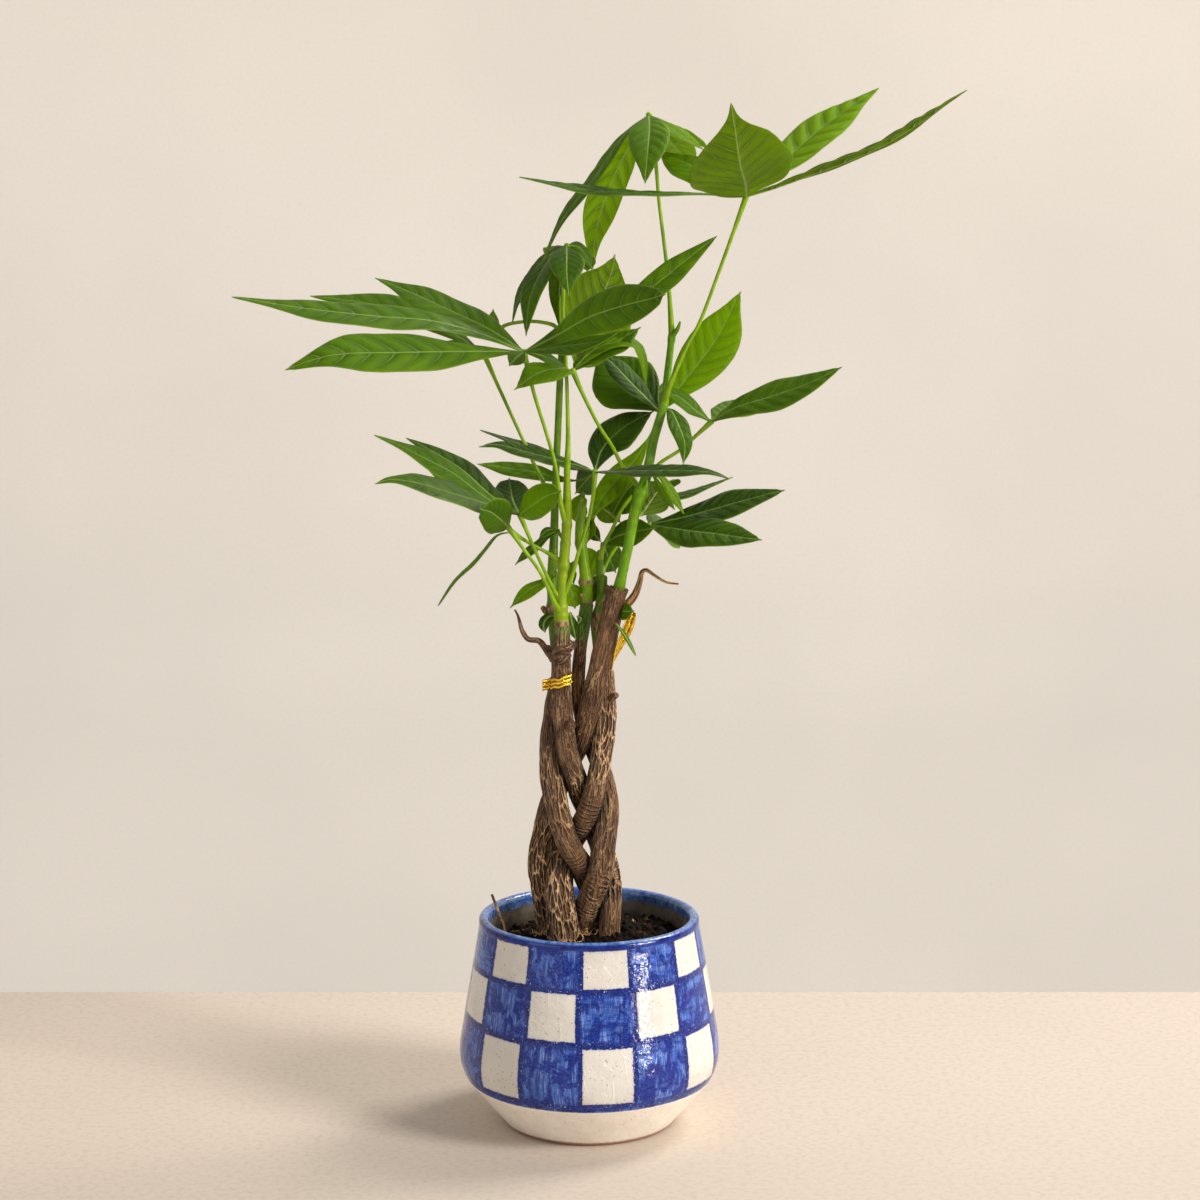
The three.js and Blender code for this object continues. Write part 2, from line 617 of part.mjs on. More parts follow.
        width: 20, face: 68,
      },
      { to: [[553, 256, -18], [539, 277, -32], [530, 300, -40], [526, 336, -44]], width: 20, face: 58 },
      { to: [[567, 256, -28], [567, 275, -46], [569, 296, -54]], width: 18, face: 8 },
      { to: [[563, 262, 16], [559, 290, 26], [560, 330, 30]], width: 13, face: 150 },
      { to: [[577, 247, -4], [586, 256, 0], [592, 270, 2]], width: 14, face: 66 },
      { to: [[579, 256, 16], [588, 272, 32]], width: 18, face: 130 },
      { to: [[567, 252, 40], [566, 262, 82]], width: 26, face: 80 },
    ],
  },
  leaf_left_back: {
    shoot: 'shoot_e',
    stalk: [[555, 503, 13], [542, 480, 21], [525, 444, 24], [500, 390, 26], [484, 354, 26]],
    leaflets: [
      { to: [[430, 320, 40], [370, 304, 50], [310, 296, 54]], width: 28, face: 64 },
      { to: [[450, 352, 48], [400, 352, 76]], width: 26, face: 66 },
    ],
  },
  leaf_left_curved: {
    shoot: 'shoot_e',
    stalk: [[562, 343, 16], [556, 327, 18], [540, 322, 20], [521, 322, 24], [504, 326, 28], [494, 336, 32]],
    leaflets: [
      { to: [[494, 322, 38], [493, 309, 42]], width: 9, face: 60 },
      { to: [[470, 330, 62], [445, 322, 90]], width: 24, face: 70 },
    ],
  },
  leaf_short_left: {
    shoot: 'shoot_a',
    stalk: [[565, 543, -3], [561, 536, -1], [558, 532, 1]],
    leaflets: [
      { to: [[548, 536, 2], [538, 545, 3], [527, 553, 3], [515, 565, 3]], width: 9, face: 62 },
      { to: [[550, 530, -3], [539, 538, -6]], width: 6, face: 62 },
    ],
  },
  leaf_lowest: {
    shoot: 'shoot_a',
    stalk: [[563, 575, -3], [559, 574, 0], [556, 574, 2]],
    leaflets: [
      { to: [[545, 580, 3], [529, 588, 2], [517, 599, 1], [510, 608, 0]], width: 15, face: 55 },
    ],
  },
  leaf_young: {
    shoot: 'shoot_c',
    stalk: [[645, 472, -5], [650, 472, -8], [653, 474, -9]],
    leaflets: [
      { to: [[663, 493, -10], [675, 510, -11]], width: 5, face: 35 },
      { to: [[662, 478, -12], [673, 495, -14], [684, 514, -15]], width: 5, face: 35 },
    ],
  },
};

// Gold foil ties
const TIE_LEFT = {
  level: [561, 681, 0],
  ridges: 3,
  ridgePitch: 2.0,
  valley: 0.6,
  crest: 1.1,
  clearance: 0.75,
  sides: 18,
  holds: 'trunk_a',
};
const TIE_RIGHT = {
  path: [[631, 617, -9], [626, 630, -9], [619, 643, -8], [614, 656, -6], [610.5, 668, -3]],
  breadth: 3.6,
  foil: 0.8,
  turn: 1.9,
  rows: 9,
};

// A band round a trunk, ridged across its height.
function ridgedBand({ level, ridges, ridgePitch, valley, crest, clearance, sides, holds }) {
  const middle = at(level).z;
  const bottom = middle - (ridges * ridgePitch) / 2;
  const line = lines[holds];
  const farness = (i) => Math.abs(line[i].z - middle);
  const nearest = line.reduce((best, _, i) => (farness(i) < farness(best) ? i : best), 0);
  const radius = along(...TRUNKS[holds].radii)(nearest / (line.length - 1)) + clearance;
  const profile = [];
  for (let i = 0; i <= 2 * ridges; i++) {
    profile.push(new THREE.Vector2(radius + (i % 2 === 0 ? valley : crest), bottom + (i * ridgePitch) / 2));
  }
  profile.push(new THREE.Vector2(radius, bottom + ridges * ridgePitch), new THREE.Vector2(radius, bottom));
  profile.push(profile[0].clone());
  return turned(profile, sides).translate(line[nearest].x, line[nearest].y, 0);
}

// A foil strip that leans on a trunk at its lower end and turns about its own line up to the free end.
function twistedStrip({ path, breadth, foil, turn, rows }, trunk) {
  const curve = new THREE.CatmullRomCurve3(path.map(at), false, 'centripetal');
  const foot = curve.getPoint(1);
  const axis = lines[trunk].reduce((best, p) => (p.distanceTo(foot) < best.distanceTo(foot) ? p : best));
  const upper = [];
  const lower = [];
  for (let row = 0; row < rows; row++) {
    const place = row / (rows - 1);
    const centre = curve.getPointAt(place);
    const tangent = curve.getTangentAt(place);
    const up = foot.clone().sub(axis).setZ(0);
    up.addScaledVector(tangent, -up.dot(tangent)).normalize();
    up.applyAxisAngle(tangent, turn * (1 - place));
    const across = new THREE.Vector3().crossVectors(tangent, up);
    const edge = (side, lift) => centre.clone().addScaledVector(across, side).addScaledVector(up, lift);
    upper.push([edge(-breadth / 2, foil / 2), edge(breadth / 2, foil / 2)]);
    lower.push([edge(-breadth / 2, -foil / 2), edge(breadth / 2, -foil / 2)]);
  }
  return sheet(upper, lower);
}

// A thin dead twig that stands in the soil
const SOIL_TWIG = {
  path: [[511, 962, -13], [503, 925, -10], [497, 908, -8], [492, 895, -6]],
  radii: [1.1, 1.0, 0.7],
  steps: 6,
};

// Pieces

const group = new THREE.Group();
const FINISH = {
  pot: { color: 0x46619a, roughness: 0.22, metalness: 0 },
  soil: { color: 0x1d150f, roughness: 0.95, metalness: 0 },
  bark: { color: 0x8f755c, roughness: 0.85, metalness: 0 },
  stem: { color: 0x86b01c, roughness: 0.45, metalness: 0 },
  leaf: { color: 0x4c7a18, roughness: 0.4, metalness: 0 },
  foil: { color: 0xd0a030, roughness: 0.25, metalness: 0.9 },
};

function add(name, geometry, finish) {
  const mesh = new THREE.Mesh(geometry, new THREE.MeshStandardMaterial(FINISH[finish]));
  mesh.name = name;
  group.add(mesh);
}

add('pot', turned(potProfile(), POT.sides), 'pot');

const lines = braidedLines();
const trunkLimb = (name, extra = 0) => {
  const radii = along(...TRUNKS[name].radii);
  return limb(lines[name], radii, TRUNK_SIDES, TRUNK_STEPS, extra);
};
for (const name of Object.keys(TRUNKS)) {
  const parts = [trunkLimb(name)];
  if (name in DEAD_STALKS) {
    const { path, radii } = DEAD_STALKS[name];
    parts.push(limb(path.map(at), along(...radii), PETIOLE_SIDES, 2 * path.length));
  }
  add(name, geometryOf(joined(parts)), 'bark');
}

const shootLimb = (name, extra = 0) => {
  const { path, radii } = SHOOTS[name];
  return limb(path.map(at), along(...radii), SHOOT_SIDES, 2 * path.length, extra);
};
for (const [name, { trunk }] of Object.entries(SHOOTS)) {
  const shoot = solidOf(shootLimb(name)).subtract(solidOf(trunkLimb(trunk, GAP)));
  add(name, geometryOf(withoutScraps(shoot)), 'stem');
}

const twig = (extra = 0) => {
  const { path, radii, steps } = SOIL_TWIG;
  return limb(path.map(at), along(...radii), PETIOLE_SIDES, steps, extra);
};
add('soil_twig', twig(), 'bark');
const planted = [...Object.keys(TRUNKS).map((name) => trunkLimb(name, GAP)), twig(GAP)];
const soil = planted.reduce((whole, hole) => whole.subtract(solidOf(hole)), solidOf(soilPlug()));
add('soil', geometryOf(withoutScraps(soil)), 'soil');
add('tie_left', ridgedBand(TIE_LEFT), 'foil');
add('tie_right', twistedStrip(TIE_RIGHT, 'trunk_c'), 'foil');

// The swollen end of a petiole reaches a little past the point where the leaflets meet.
function hubEnd(stalk) {
  const [before, hub] = stalk.slice(-2).map(at);
  return hub.clone().addScaledVector(hub.clone().sub(before).normalize(), HUB_LENGTH);
}

Object.entries(LEAVES).forEach(([name, { shoot, stalk, leaflets }], order) => {
  const hub = at(stalk.at(-1));
  const line = [...stalk.map(at), hubEnd(stalk)];
  const petiole = limb(line, along(...PETIOLE_RADII), PETIOLE_SIDES, line.length + 2);
  const blades = leaflets.map((leaflet, i) => blade([hub, ...leaflet.to.map(at)], leaflet, order + 2 * i));
  const whole = joined([petiole, ...blades]).subtract(solidOf(shootLimb(shoot, GAP)));
  add(name, geometryOf(withoutScraps(whole)), 'leaf');
});

export default group;
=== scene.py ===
# %% [markdown]
# # Potted money tree
# A braided money tree in a small painted pot, built around the fixed CAD frame. The frame gives the
# size and the place of every piece. This script gives each of them its living surface: bark, leaf
# veins, painted glaze, soil crumbs and foil.

# %% Load the frame
import math

import bmesh
import bpy
import numpy as np
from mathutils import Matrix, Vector


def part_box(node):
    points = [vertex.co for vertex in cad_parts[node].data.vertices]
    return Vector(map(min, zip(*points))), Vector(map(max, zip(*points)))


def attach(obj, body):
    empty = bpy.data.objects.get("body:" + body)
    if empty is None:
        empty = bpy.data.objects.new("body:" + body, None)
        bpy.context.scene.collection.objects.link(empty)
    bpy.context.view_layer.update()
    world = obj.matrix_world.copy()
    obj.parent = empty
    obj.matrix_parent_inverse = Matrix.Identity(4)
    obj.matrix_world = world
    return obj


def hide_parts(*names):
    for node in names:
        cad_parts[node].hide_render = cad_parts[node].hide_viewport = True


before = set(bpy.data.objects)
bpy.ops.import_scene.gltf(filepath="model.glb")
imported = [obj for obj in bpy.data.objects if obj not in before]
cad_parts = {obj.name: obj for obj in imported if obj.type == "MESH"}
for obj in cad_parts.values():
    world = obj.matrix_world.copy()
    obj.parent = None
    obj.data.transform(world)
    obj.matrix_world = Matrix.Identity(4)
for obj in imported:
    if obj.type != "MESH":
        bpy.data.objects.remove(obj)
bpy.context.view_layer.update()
MM = 0.001

# %% [markdown]
# The camera stands in front of the pot, level with the upper leaves, and looks down nine degrees.
# Everything on the plant is placed along that view: `at` turns a place in the 1200 x 1200 picture
# and a depth behind the pot's axis into a point in millimetres. A helper of this kind makes it easy
# to check a point by eye, because its first two numbers can be read off the picture.

# %% Camera and the line of sight
VIEW = dict(eye_x=6.2, eye_distance=1500, eye_height=538.6, pitch=math.radians(9.03),
            focal_pixels=2726, picture=1200, sensor_mm=36)


def at(place):
    """The point, in millimetres, that is seen at pixel (u, v) at a depth behind the pot's axis."""
    u, v, depth = place
    middle = VIEW["picture"] / 2
    right = (u - middle) / VIEW["focal_pixels"]
    up = (middle - v) / VIEW["focal_pixels"]
    forward = math.cos(VIEW["pitch"]) + up * math.sin(VIEW["pitch"])
    rise = up * math.cos(VIEW["pitch"]) - math.sin(VIEW["pitch"])
    reach = (depth + VIEW["eye_distance"]) / forward
    return np.array([VIEW["eye_x"] + reach * right, depth, VIEW["eye_height"] + reach * rise])


def placed(path):
    return np.array([at(place) for place in path])


camera_data = bpy.data.cameras.new("camera")
camera_data.sensor_width = VIEW["sensor_mm"]
camera_data.lens = VIEW["focal_pixels"] * VIEW["sensor_mm"] / VIEW["picture"]
camera = bpy.data.objects.new("camera", camera_data)
camera.location = (VIEW["eye_x"] * MM, -VIEW["eye_distance"] * MM, VIEW["eye_height"] * MM)
camera.rotation_euler = (math.pi / 2 - VIEW["pitch"], 0, 0)
bpy.context.collection.objects.link(camera)
bpy.context.scene.camera = camera
print("lens:", round(camera_data.lens, 1), "mm")

# %% [markdown]
# Materials and Geometry Nodes both grow into long chains of Math nodes. Two small classes keep them
# readable. A `Bench` is a node tree that nodes are laid out on, and a `Wire` is one output socket
# that can be written like a number in a sum: `1 - mask * 0.5` adds the Math nodes by itself, and
# `place.noise(40)` reads a noise at a place.

# %% Wires and benches
class Wire:
    """One socket of a node tree, written like a number in a sum."""

    def __init__(self, bench, socket):
        self.bench = bench
        self.socket = socket

    def math(self, operation, *terms):
        return self.bench.make("ShaderNodeMath", {"operation": operation}, dict(enumerate(terms)))

    def __add__(self, other):
        return self.math("ADD", self, other)

    def __sub__(self, other):
        return self.math("SUBTRACT", self, other)

    def __rsub__(self, other):
        return self.math("SUBTRACT", other, self)

    def __mul__(self, other):
        return self.math("MULTIPLY", self, other)

    def __truediv__(self, other):
        return self.math("DIVIDE", self, other)

    def __pow__(self, power):
        return self.math("POWER", self, power)

    def __abs__(self):
        return self.math("ABSOLUTE", self)

    __radd__ = __add__
    __rmul__ = __mul__

    def clamped(self):
        return self.bench.make("ShaderNodeClamp", {}, {0: self})

    def sine(self):
        return self.math("SINE", self)

    def least(self, other):
        return self.math("MINIMUM", self, other)

    def most(self, other):
        return self.math("MAXIMUM", self, other)

    def step(self, low, high):
        """Runs smoothly from 0 at low to 1 at high."""
        return self.bench.make("ShaderNodeMapRange", {"interpolation_type": "SMOOTHSTEP"},
                               {"Value": self, "From Min": low, "From Max": high})

    def coat(self, cover, red, green, blue):
        """This colour with an on-screen colour over it, as far as the cover goes."""
        return self.bench.blend(cover, self, screen(red, green, blue))

    def stretched(self, scales):
        return self.bench.make("ShaderNodeVectorMath", {"operation": "MULTIPLY"}, {0: self, 1: scales})

    def noise(self, scale, detail=2.0, roughness=0.5, distortion=0.0):
        sockets = {"Vector": self, "Scale": scale, "Detail": detail, "Roughness": roughness,
                   "Distortion": distortion}
        return self.bench.make("ShaderNodeTexNoise", {}, sockets)

    def cells(self, scale, feature="DISTANCE_TO_EDGE"):
        sockets = {"Vector": self, "Scale": scale}
        return self.bench.make("ShaderNodeTexVoronoi", {"feature": feature}, sockets)

    def off_line(self):
        """How far a count lies from the nearest whole number."""
        return abs(self - self.math("ROUND", self))


class Bench:
    """A node tree that nodes are laid out on, for materials and for geometry alike."""

    def __init__(self, tree):
        self.tree = tree

    def make(self, kind, settings=None, sockets=None, output=0):
        node = self.tree.nodes.new(kind)
        for name, value in (settings or {}).items():
            setattr(node, name, value)
        for key, value in (sockets or {}).items():
            if isinstance(value, Wire):
                self.tree.links.new(value.socket, node.inputs[key])
            else:
                node.inputs[key].default_value = value
        return Wire(self, node.outputs[output]) if node.outputs else node

    def vector(self, x, y, z):
        return self.make("ShaderNodeCombineXYZ", {}, {0: x, 1: y, 2: z})

    def split(self, vector):
        return [self.make("ShaderNodeSeparateXYZ", {}, {0: vector}, output=i) for i in range(3)]

    def blend(self, factor, first, second):
        """A colour between two colours."""
        settings = {"data_type": "RGBA", "clamp_factor": True}
        return self.make("ShaderNodeMix", settings, {0: factor, 6: first, 7: second}, output=2)


print("benches ready")

# %% [markdown]
# A material here is a function that draws on a bench and returns what feeds the surface. Colours are
# written as they look on screen and turned into the linear values that the renderer uses. What is
# the same all over a surface is set on the shader's own socket. Nodes drive the colour, the
# roughness and the bump, and on leaves also the coat and the share of light that goes through.

# %% Materials
DRIVEN = ("Base Color", "Roughness", "Coat Weight")


def screen(red, green, blue):
    """A colour given as 0 to 255 on screen, as linear light."""
    def linear(value):
        share = value / 255
        return share / 12.92 if share <= 0.04045 else ((share + 0.055) / 1.055) ** 2.4
    return (linear(red), linear(green), linear(blue), 1.0)


def material(name, draw, **constants):
    """A material whose surface is drawn by a function on a bench."""
    made = bpy.data.materials.new(name)
    made.use_nodes = True
    tree = made.node_tree
    tree.nodes.clear()
    bench = Bench(tree)
    parts = draw(bench)
    sockets = {key: value for key, value in parts.items() if key in DRIVEN}
    if "height" in parts:
        bump = {"Strength": parts.get("strength", 0.5), "Distance": parts["depth"], "Height": parts["height"]}
        sockets["Normal"] = bench.make("ShaderNodeBump", {}, bump)
    surface = bench.make("ShaderNodeBsdfPrincipled", {}, {**sockets, **constants})
    if "through" in parts:
        amount, colour = parts["through"]
        glow = bench.make("ShaderNodeBsdfTranslucent", {}, {"Color": colour})
        surface = bench.make("ShaderNodeMixShader", {}, {0: amount, 1: surface, 2: glow})
    bench.make("ShaderNodeOutputMaterial", {}, {"Surface": surface})
    return made


def own_place(bench):
    return bench.make("ShaderNodeTexCoord", {}, {}, output=3)


def carried(bench, name):
    """A number that the mesh carries under a name."""
    return bench.make("ShaderNodeAttribute", {"attribute_name": name}, {}, output=2)


def carried_vector(bench, name):
    return bench.make("ShaderNodeAttribute", {"attribute_name": name}, {}, output=1)


print("white on screen:", [round(part, 3) for part in screen(255, 255, 255)])

# %% [markdown]
# The stage is a plain pale table in front of a plain pale wall. The table ends a hand's length behind
# the pot and the wall stands well behind it. Plain boxes do, as they only carry light and shade.

# %% Table and wall
TABLE = dict(back=0.2385, front=-3.6, half_width=3.6, thickness=0.03)
WALL = dict(y=1.6, half_width=4.0, low=-2.0, high=3.0, thickness=0.02)
STONE = dict(clouded=0.97, speckled=0.88)


def stone(colour, grain):
    def draw(bench):
        place = own_place(bench)
        cloudy = place.noise(2, 3)
        fine = place.noise(260, 3, 0.6)
        clouded = screen(*(c * STONE["clouded"] for c in colour))
        speckled = screen(*(c * STONE["speckled"] for c in colour))
        shade = bench.blend(cloudy.step(0.3, 0.7), screen(*colour), clouded)
        speck = bench.blend(fine.step(0.42, 0.7) * grain, shade, speckled)
        return {"Base Color": speck, "height": fine, "strength": 0.12, "depth": 0.0004}
    return draw


def as_piece(solid, name, finish, smooth=False):
    """Makes a piece of the scene out of a worked mesh."""
    mesh = bpy.data.meshes.new(name)
    solid.to_mesh(mesh)
    solid.free()
    if smooth:
        mesh.shade_smooth()
    mesh.materials.append(finish)
    made = bpy.data.objects.new(name, mesh)
    bpy.context.collection.objects.link(made)
    return made


def box(name, low, high, finish):
    solid = bmesh.new()
    bmesh.ops.create_cube(solid, size=1.0)
    low, high = Vector(low), Vector(high)
    for corner in solid.verts:
        corner.co = Vector(low[i] + (corner.co[i] + 0.5) * (high[i] - low[i]) for i in range(3))
    return as_piece(solid, name, finish)


table_finish = material("table_stone", stone((203, 190, 177), 0.5),
                        **{"Roughness": 0.7, "Specular IOR Level": 0.25})
wall_finish = material("wall_paint", stone((231, 223, 213), 0.12), Roughness=0.9)
table = box("stage_table", (-TABLE["half_width"], TABLE["front"], -TABLE["thickness"]),
            (TABLE["half_width"], TABLE["back"], 0.0), table_finish)
wall = box("stage_wall", (-WALL["half_width"], WALL["y"], WALL["low"]),
           (WALL["half_width"], WALL["y"] + WALL["thickness"], WALL["high"]), wall_finish)
print("table ends", TABLE["back"], "m behind the pot's axis")

# %% [markdown]
# The light is that of a bright room: a broad warm window lamp far off at the front right, a small
# lamp behind the plant, a faint fill at the left, and a pale sky that fills the shadows. A narrow low
# sun gives the streak on the glaze. Its place only tells from which side it shines.

# %% Lights
LAMPS = {
    "window": dict(place=(5.7, -3.25, 4.07), power=520, size=2.25, colour=(1.0, 0.965, 0.915)),
    "back_window": dict(place=(0.95, 0.6, 1.45), power=9, size=0.6, colour=(1.0, 0.96, 0.88), spread=120),
    "low_sun": dict(place=(0.784, -0.62, 0.262), power=0.52, wide=5, colour=(1.0, 0.98, 0.95)),
    "fill": dict(place=(-1.7, -1.6, 1.0), power=8, size=1.6, colour=(1.0, 0.97, 0.93)),
}
AIM = Vector((0.0, 0.0, 0.25))
SKY = dict(colour=(1.0, 0.975, 0.945, 1.0), strength=0.43)
for name, lamp in LAMPS.items():
    data = bpy.data.lights.new(name, "SUN" if "wide" in lamp else "AREA")
    data.energy = lamp["power"]
    data.color = lamp["colour"]
    if "wide" in lamp:
        data.angle = math.radians(lamp["wide"])
    else:
        data.size = lamp["size"]
        data.spread = math.radians(lamp.get("spread", 180))
    holder = bpy.data.objects.new(name, data)
    holder.location = lamp["place"]
    aim = AIM - Vector(lamp["place"])
    holder.rotation_euler = aim.to_track_quat("-Z", "Y").to_euler()
    bpy.context.collection.objects.link(holder)
world = bpy.data.worlds.new("room")
world.use_nodes = True
world.node_tree.nodes["Background"].inputs["Color"].default_value = SKY["colour"]
world.node_tree.nodes["Background"].inputs["Strength"].default_value = SKY["strength"]
bpy.context.scene.world = world
bpy.context.scene.view_settings.view_transform = "Standard"
print("lamps:", list(LAMPS))

# %% [markdown]
# Trunks, shoots, petioles, roots and twigs are all limbs: round things that follow a line. Each line
# is worked out in plain Python as a `skeleton`, a mesh of points and edges that carries what the
# limb needs at each point: its middle, two directions across it, its radius and its bark. A Geometry
# Nodes tree then sweeps a ring of points along the skeleton. The sweep gives the faces, and one Set
# Position gives every corner its place by a formula, so relief can be added to it as sums.

# %% Smooth lines
def smooth_line(points, samples=400):
    """A centripetal Catmull-Rom line through points, at evenly spaced places along it."""
    points = np.asarray(points, float)
    whole = np.vstack([2 * points[0] - points[1], points, 2 * points[-1] - points[-2]])
    pieces = []
    share = max(4, samples // (len(points) - 1))
    t = np.linspace(0, 1, share, endpoint=False)[:, None]
    for a, b, c, d in zip(whole, whole[1:], whole[2:], whole[3:]):
        steps = [max(np.linalg.norm(q - p), 1e-6) ** 0.5 for p, q in ((a, b), (b, c), (c, d))]
        leave = ((b - a) / steps[0] - (c - a) / (steps[0] + steps[1]) + (c - b) / steps[1]) * steps[1]
        arrive = ((c - b) / steps[1] - (d - b) / (steps[1] + steps[2]) + (d - c) / steps[2]) * steps[1]
        pieces.append(b + leave * t + (3 * (c - b) - 2 * leave - arrive) * t ** 2
                      + (2 * (b - c) + leave + arrive) * t ** 3)
    line = np.vstack(pieces + [points[-1:]])
    return spaced(line, samples)


def arc(line):
    return np.concatenate([[0], np.cumsum(np.linalg.norm(np.diff(line, axis=0), axis=1))])


def spaced(line, count):
    """The same line with evenly spaced points."""
    length = arc(line)
    wanted = np.linspace(0, length[-1], count)
    return np.stack([np.interp(wanted, length, line[:, i]) for i in range(3)], axis=1)


def run(values, places):
    """Evenly spaced values, read at places from 0 to 1."""
    return np.interp(places, np.linspace(0, 1, len(values)), values)


def unit(vectors):
    return vectors / np.maximum(np.linalg.norm(vectors, axis=-1, keepdims=True), 1e-9)


def directions(line):
    """Two directions across a line at each point, carried along it without twist."""
    tangents = unit(np.gradient(line, axis=0))
    side = np.array([1.0, 0.0, 0.0])
    sides = []
    for tangent in tangents:
        side = side - tangent * np.dot(side, tangent)
        side /= max(np.linalg.norm(side), 1e-9)
        sides.append(side)
    sides = np.array(sides)
    return sides, np.cross(tangents, sides)


print("length of a test line:", round(arc(smooth_line([(0, 0, 0), (0, 0, 5), (3, 0, 9)]))[-1], 2))

# %% [markdown]
# A limb or a leaflet grows round its middle line, so that line is all that a table has to give. Radii
# are given at a few places and read off in between. The ends of a limb close with four more points
# whose radius runs out, which rounds them off like a bud or a healed cut.

# %% Skeletons
END_GIRTH = np.array([0.97, 0.8, 0.5, 0.12])
END_REACH = np.array([0.25, 0.6, 0.87, 1.0])


def skeleton(name, lines):
    """A mesh of separate lines. A line is a dict of arrays: centre, in mm, and what it carries."""
    mesh = bpy.data.meshes.new(name)
    centres = np.vstack([line["centre"] for line in lines]) * MM
    starts = np.cumsum([0] + [len(line["centre"]) for line in lines])
    edges = [(i, i + 1) for a, b in zip(starts, starts[1:]) for i in range(a, b - 1)]
    mesh.from_pydata(centres.tolist(), edges, [])
    for key in lines[0]:
        values = np.concatenate([np.asarray(line[key], float) for line in lines])
        if key == "centre":
            values = centres
        kind, field = ("FLOAT_VECTOR", "vector") if values.ndim == 2 else ("FLOAT", "value")
        layer = mesh.attributes.new(key, kind, "POINT")
        layer.data.foreach_set(field, values.astype(np.float32).ravel())
    return mesh


def limb_line(points, radii, step, rounding=0.6, **carries):
    """A limb's skeleton line: radii in mm along it, with ends that round off."""
    line = smooth_line(points)
    count = max(6, int(arc(line)[-1] / step))
    line = spaced(line, count)
    place = np.linspace(0, 1, count)
    radius = run(radii, place)
    tangents = unit(np.gradient(line, axis=0))
    out = END_REACH * rounding
    head = [line[-1] + tangents[-1] * radius[-1] * o for o in out]
    foot = [line[0] - tangents[0] * radius[0] * o for o in out[::-1]]
    line = np.vstack([foot, line, head])
    radius = np.concatenate([radius[0] * END_GIRTH[::-1], radius, radius[-1] * END_GIRTH])
    place = np.concatenate([[0] * 4, place, [1] * 4])
    across, beside = directions(line)
    made = dict(centre=line, across=across, beside=beside, girth=radius * MM, place=place,
                reach=arc(line) * MM)
    for key, values in carries.items():
        made[key] = run(values, place) if np.ndim(values) else np.full(len(line), float(values))
    return made


print("skeletons ready")

# %% [markdown]
# A growth is a Geometry Nodes tree with named inputs. `grown` gives a skeleton to it, sets the inputs
# by their identifiers, takes the evaluated shape as a plain mesh and drops the modifier again, so
# what stays in the scene is an ordinary piece.

# %% Growths
def growth(name, inputs, draw):
    """A Geometry Nodes tree with named inputs, each given as (socket type, value)."""
    tree = bpy.data.node_groups.new(name, "GeometryNodeTree")
    tree.interface.new_socket(name="Geometry", in_out="INPUT", socket_type="NodeSocketGeometry")
    for label, (kind, value) in inputs.items():
        socket = tree.interface.new_socket(name=label, in_out="INPUT", socket_type="NodeSocket" + kind)
        if value is not None:
            socket.default_value = value
    tree.interface.new_socket(name="Finish", in_out="INPUT", socket_type="NodeSocketMaterial")
    tree.interface.new_socket(name="Geometry", in_out="OUTPUT", socket_type="NodeSocketGeometry")
    bench = Bench(tree)
    entry = tree.nodes.new("NodeGroupInput")
    given = {socket.name: Wire(bench, socket) for socket in entry.outputs if socket.name}
    shape = draw(bench, given)
    shape = bench.make("GeometryNodeSetShadeSmooth", {}, {"Geometry": shape, "Shade Smooth": True})
    shape = bench.make("GeometryNodeRealizeInstances", {}, {0: shape})
    shape = bench.make("GeometryNodeSetMaterial", {}, {"Geometry": shape, "Material": given["Finish"]})
    bench.make("NodeGroupOutput", {}, {0: shape})
    return tree


def grown(name, start, tree, finish, **values):
    """The plain mesh piece that a growth makes of a skeleton."""
    piece = bpy.data.objects.new(name, start)
    bpy.context.collection.objects.link(piece)
    modifier = piece.modifiers.new("growth", "NODES")
    modifier.node_group = tree
    values["Finish"] = finish
    for item in tree.interface.items_tree:
        if item.in_out == "INPUT" and item.name in values:
            modifier[item.identifier] = values[item.name]
    graph = bpy.context.evaluated_depsgraph_get()
    made = bpy.data.meshes.new_from_object(piece.evaluated_get(graph), depsgraph=graph)
    piece.modifiers.remove(modifier)
    piece.data = made
    made.name = name
    solid = bmesh.new()
    solid.from_mesh(made)
    bmesh.ops.recalc_face_normals(solid, faces=solid.faces)
    solid.to_mesh(made)
    solid.free()
    return piece


def joined(pieces, name):
    """Several pieces made one."""
    with bpy.context.temp_override(active_object=pieces[0], selected_editable_objects=pieces):
        bpy.ops.object.join()
    pieces[0].name = name
    pieces[0].data.name = name
    return pieces[0]


def field(bench, name, kind="FLOAT"):
    """What the geometry carries under a name."""
    return bench.make("GeometryNodeInputNamedAttribute", {"data_type": kind}, {"Name": name})


def kept(bench, shape, name, value, domain="POINT", kind="FLOAT"):
    settings = {"data_type": kind, "domain": domain}
    sockets = {"Geometry": shape, "Name": name, "Value": value}
    return bench.make("GeometryNodeStoreNamedAttribute", settings, sockets)


def scaled(bench, vector, size):
    return bench.make("ShaderNodeVectorMath", {"operation": "SCALE"}, {"Vector": vector, "Scale": size})


def added(bench, *vectors):
    whole = vectors[0]
    for vector in vectors[1:]:
        whole = bench.make("ShaderNodeVectorMath", {"operation": "ADD"}, {0: whole, 1: vector})
    return whole


def sweep(bench, given, count_name):
    """A ring of points swept along each skeleton line. Each point carries its turn round the ring."""
    count = given[count_name]
    circle = {"Resolution": count, "Radius": MM}
    ring = bench.make("GeometryNodeCurvePrimitiveCircle", {"mode": "RADIUS"}, circle)
    index = bench.make("GeometryNodeInputIndex")
    ring = kept(bench, ring, "turn", index * (2 * math.pi) / count)
    line = bench.make("GeometryNodeMeshToCurve", {}, {0: given["Geometry"]})
    sockets = {"Curve": line, "Profile Curve": ring, "Fill Caps": True}
    return bench.make("GeometryNodeCurveToMesh", {}, sockets)


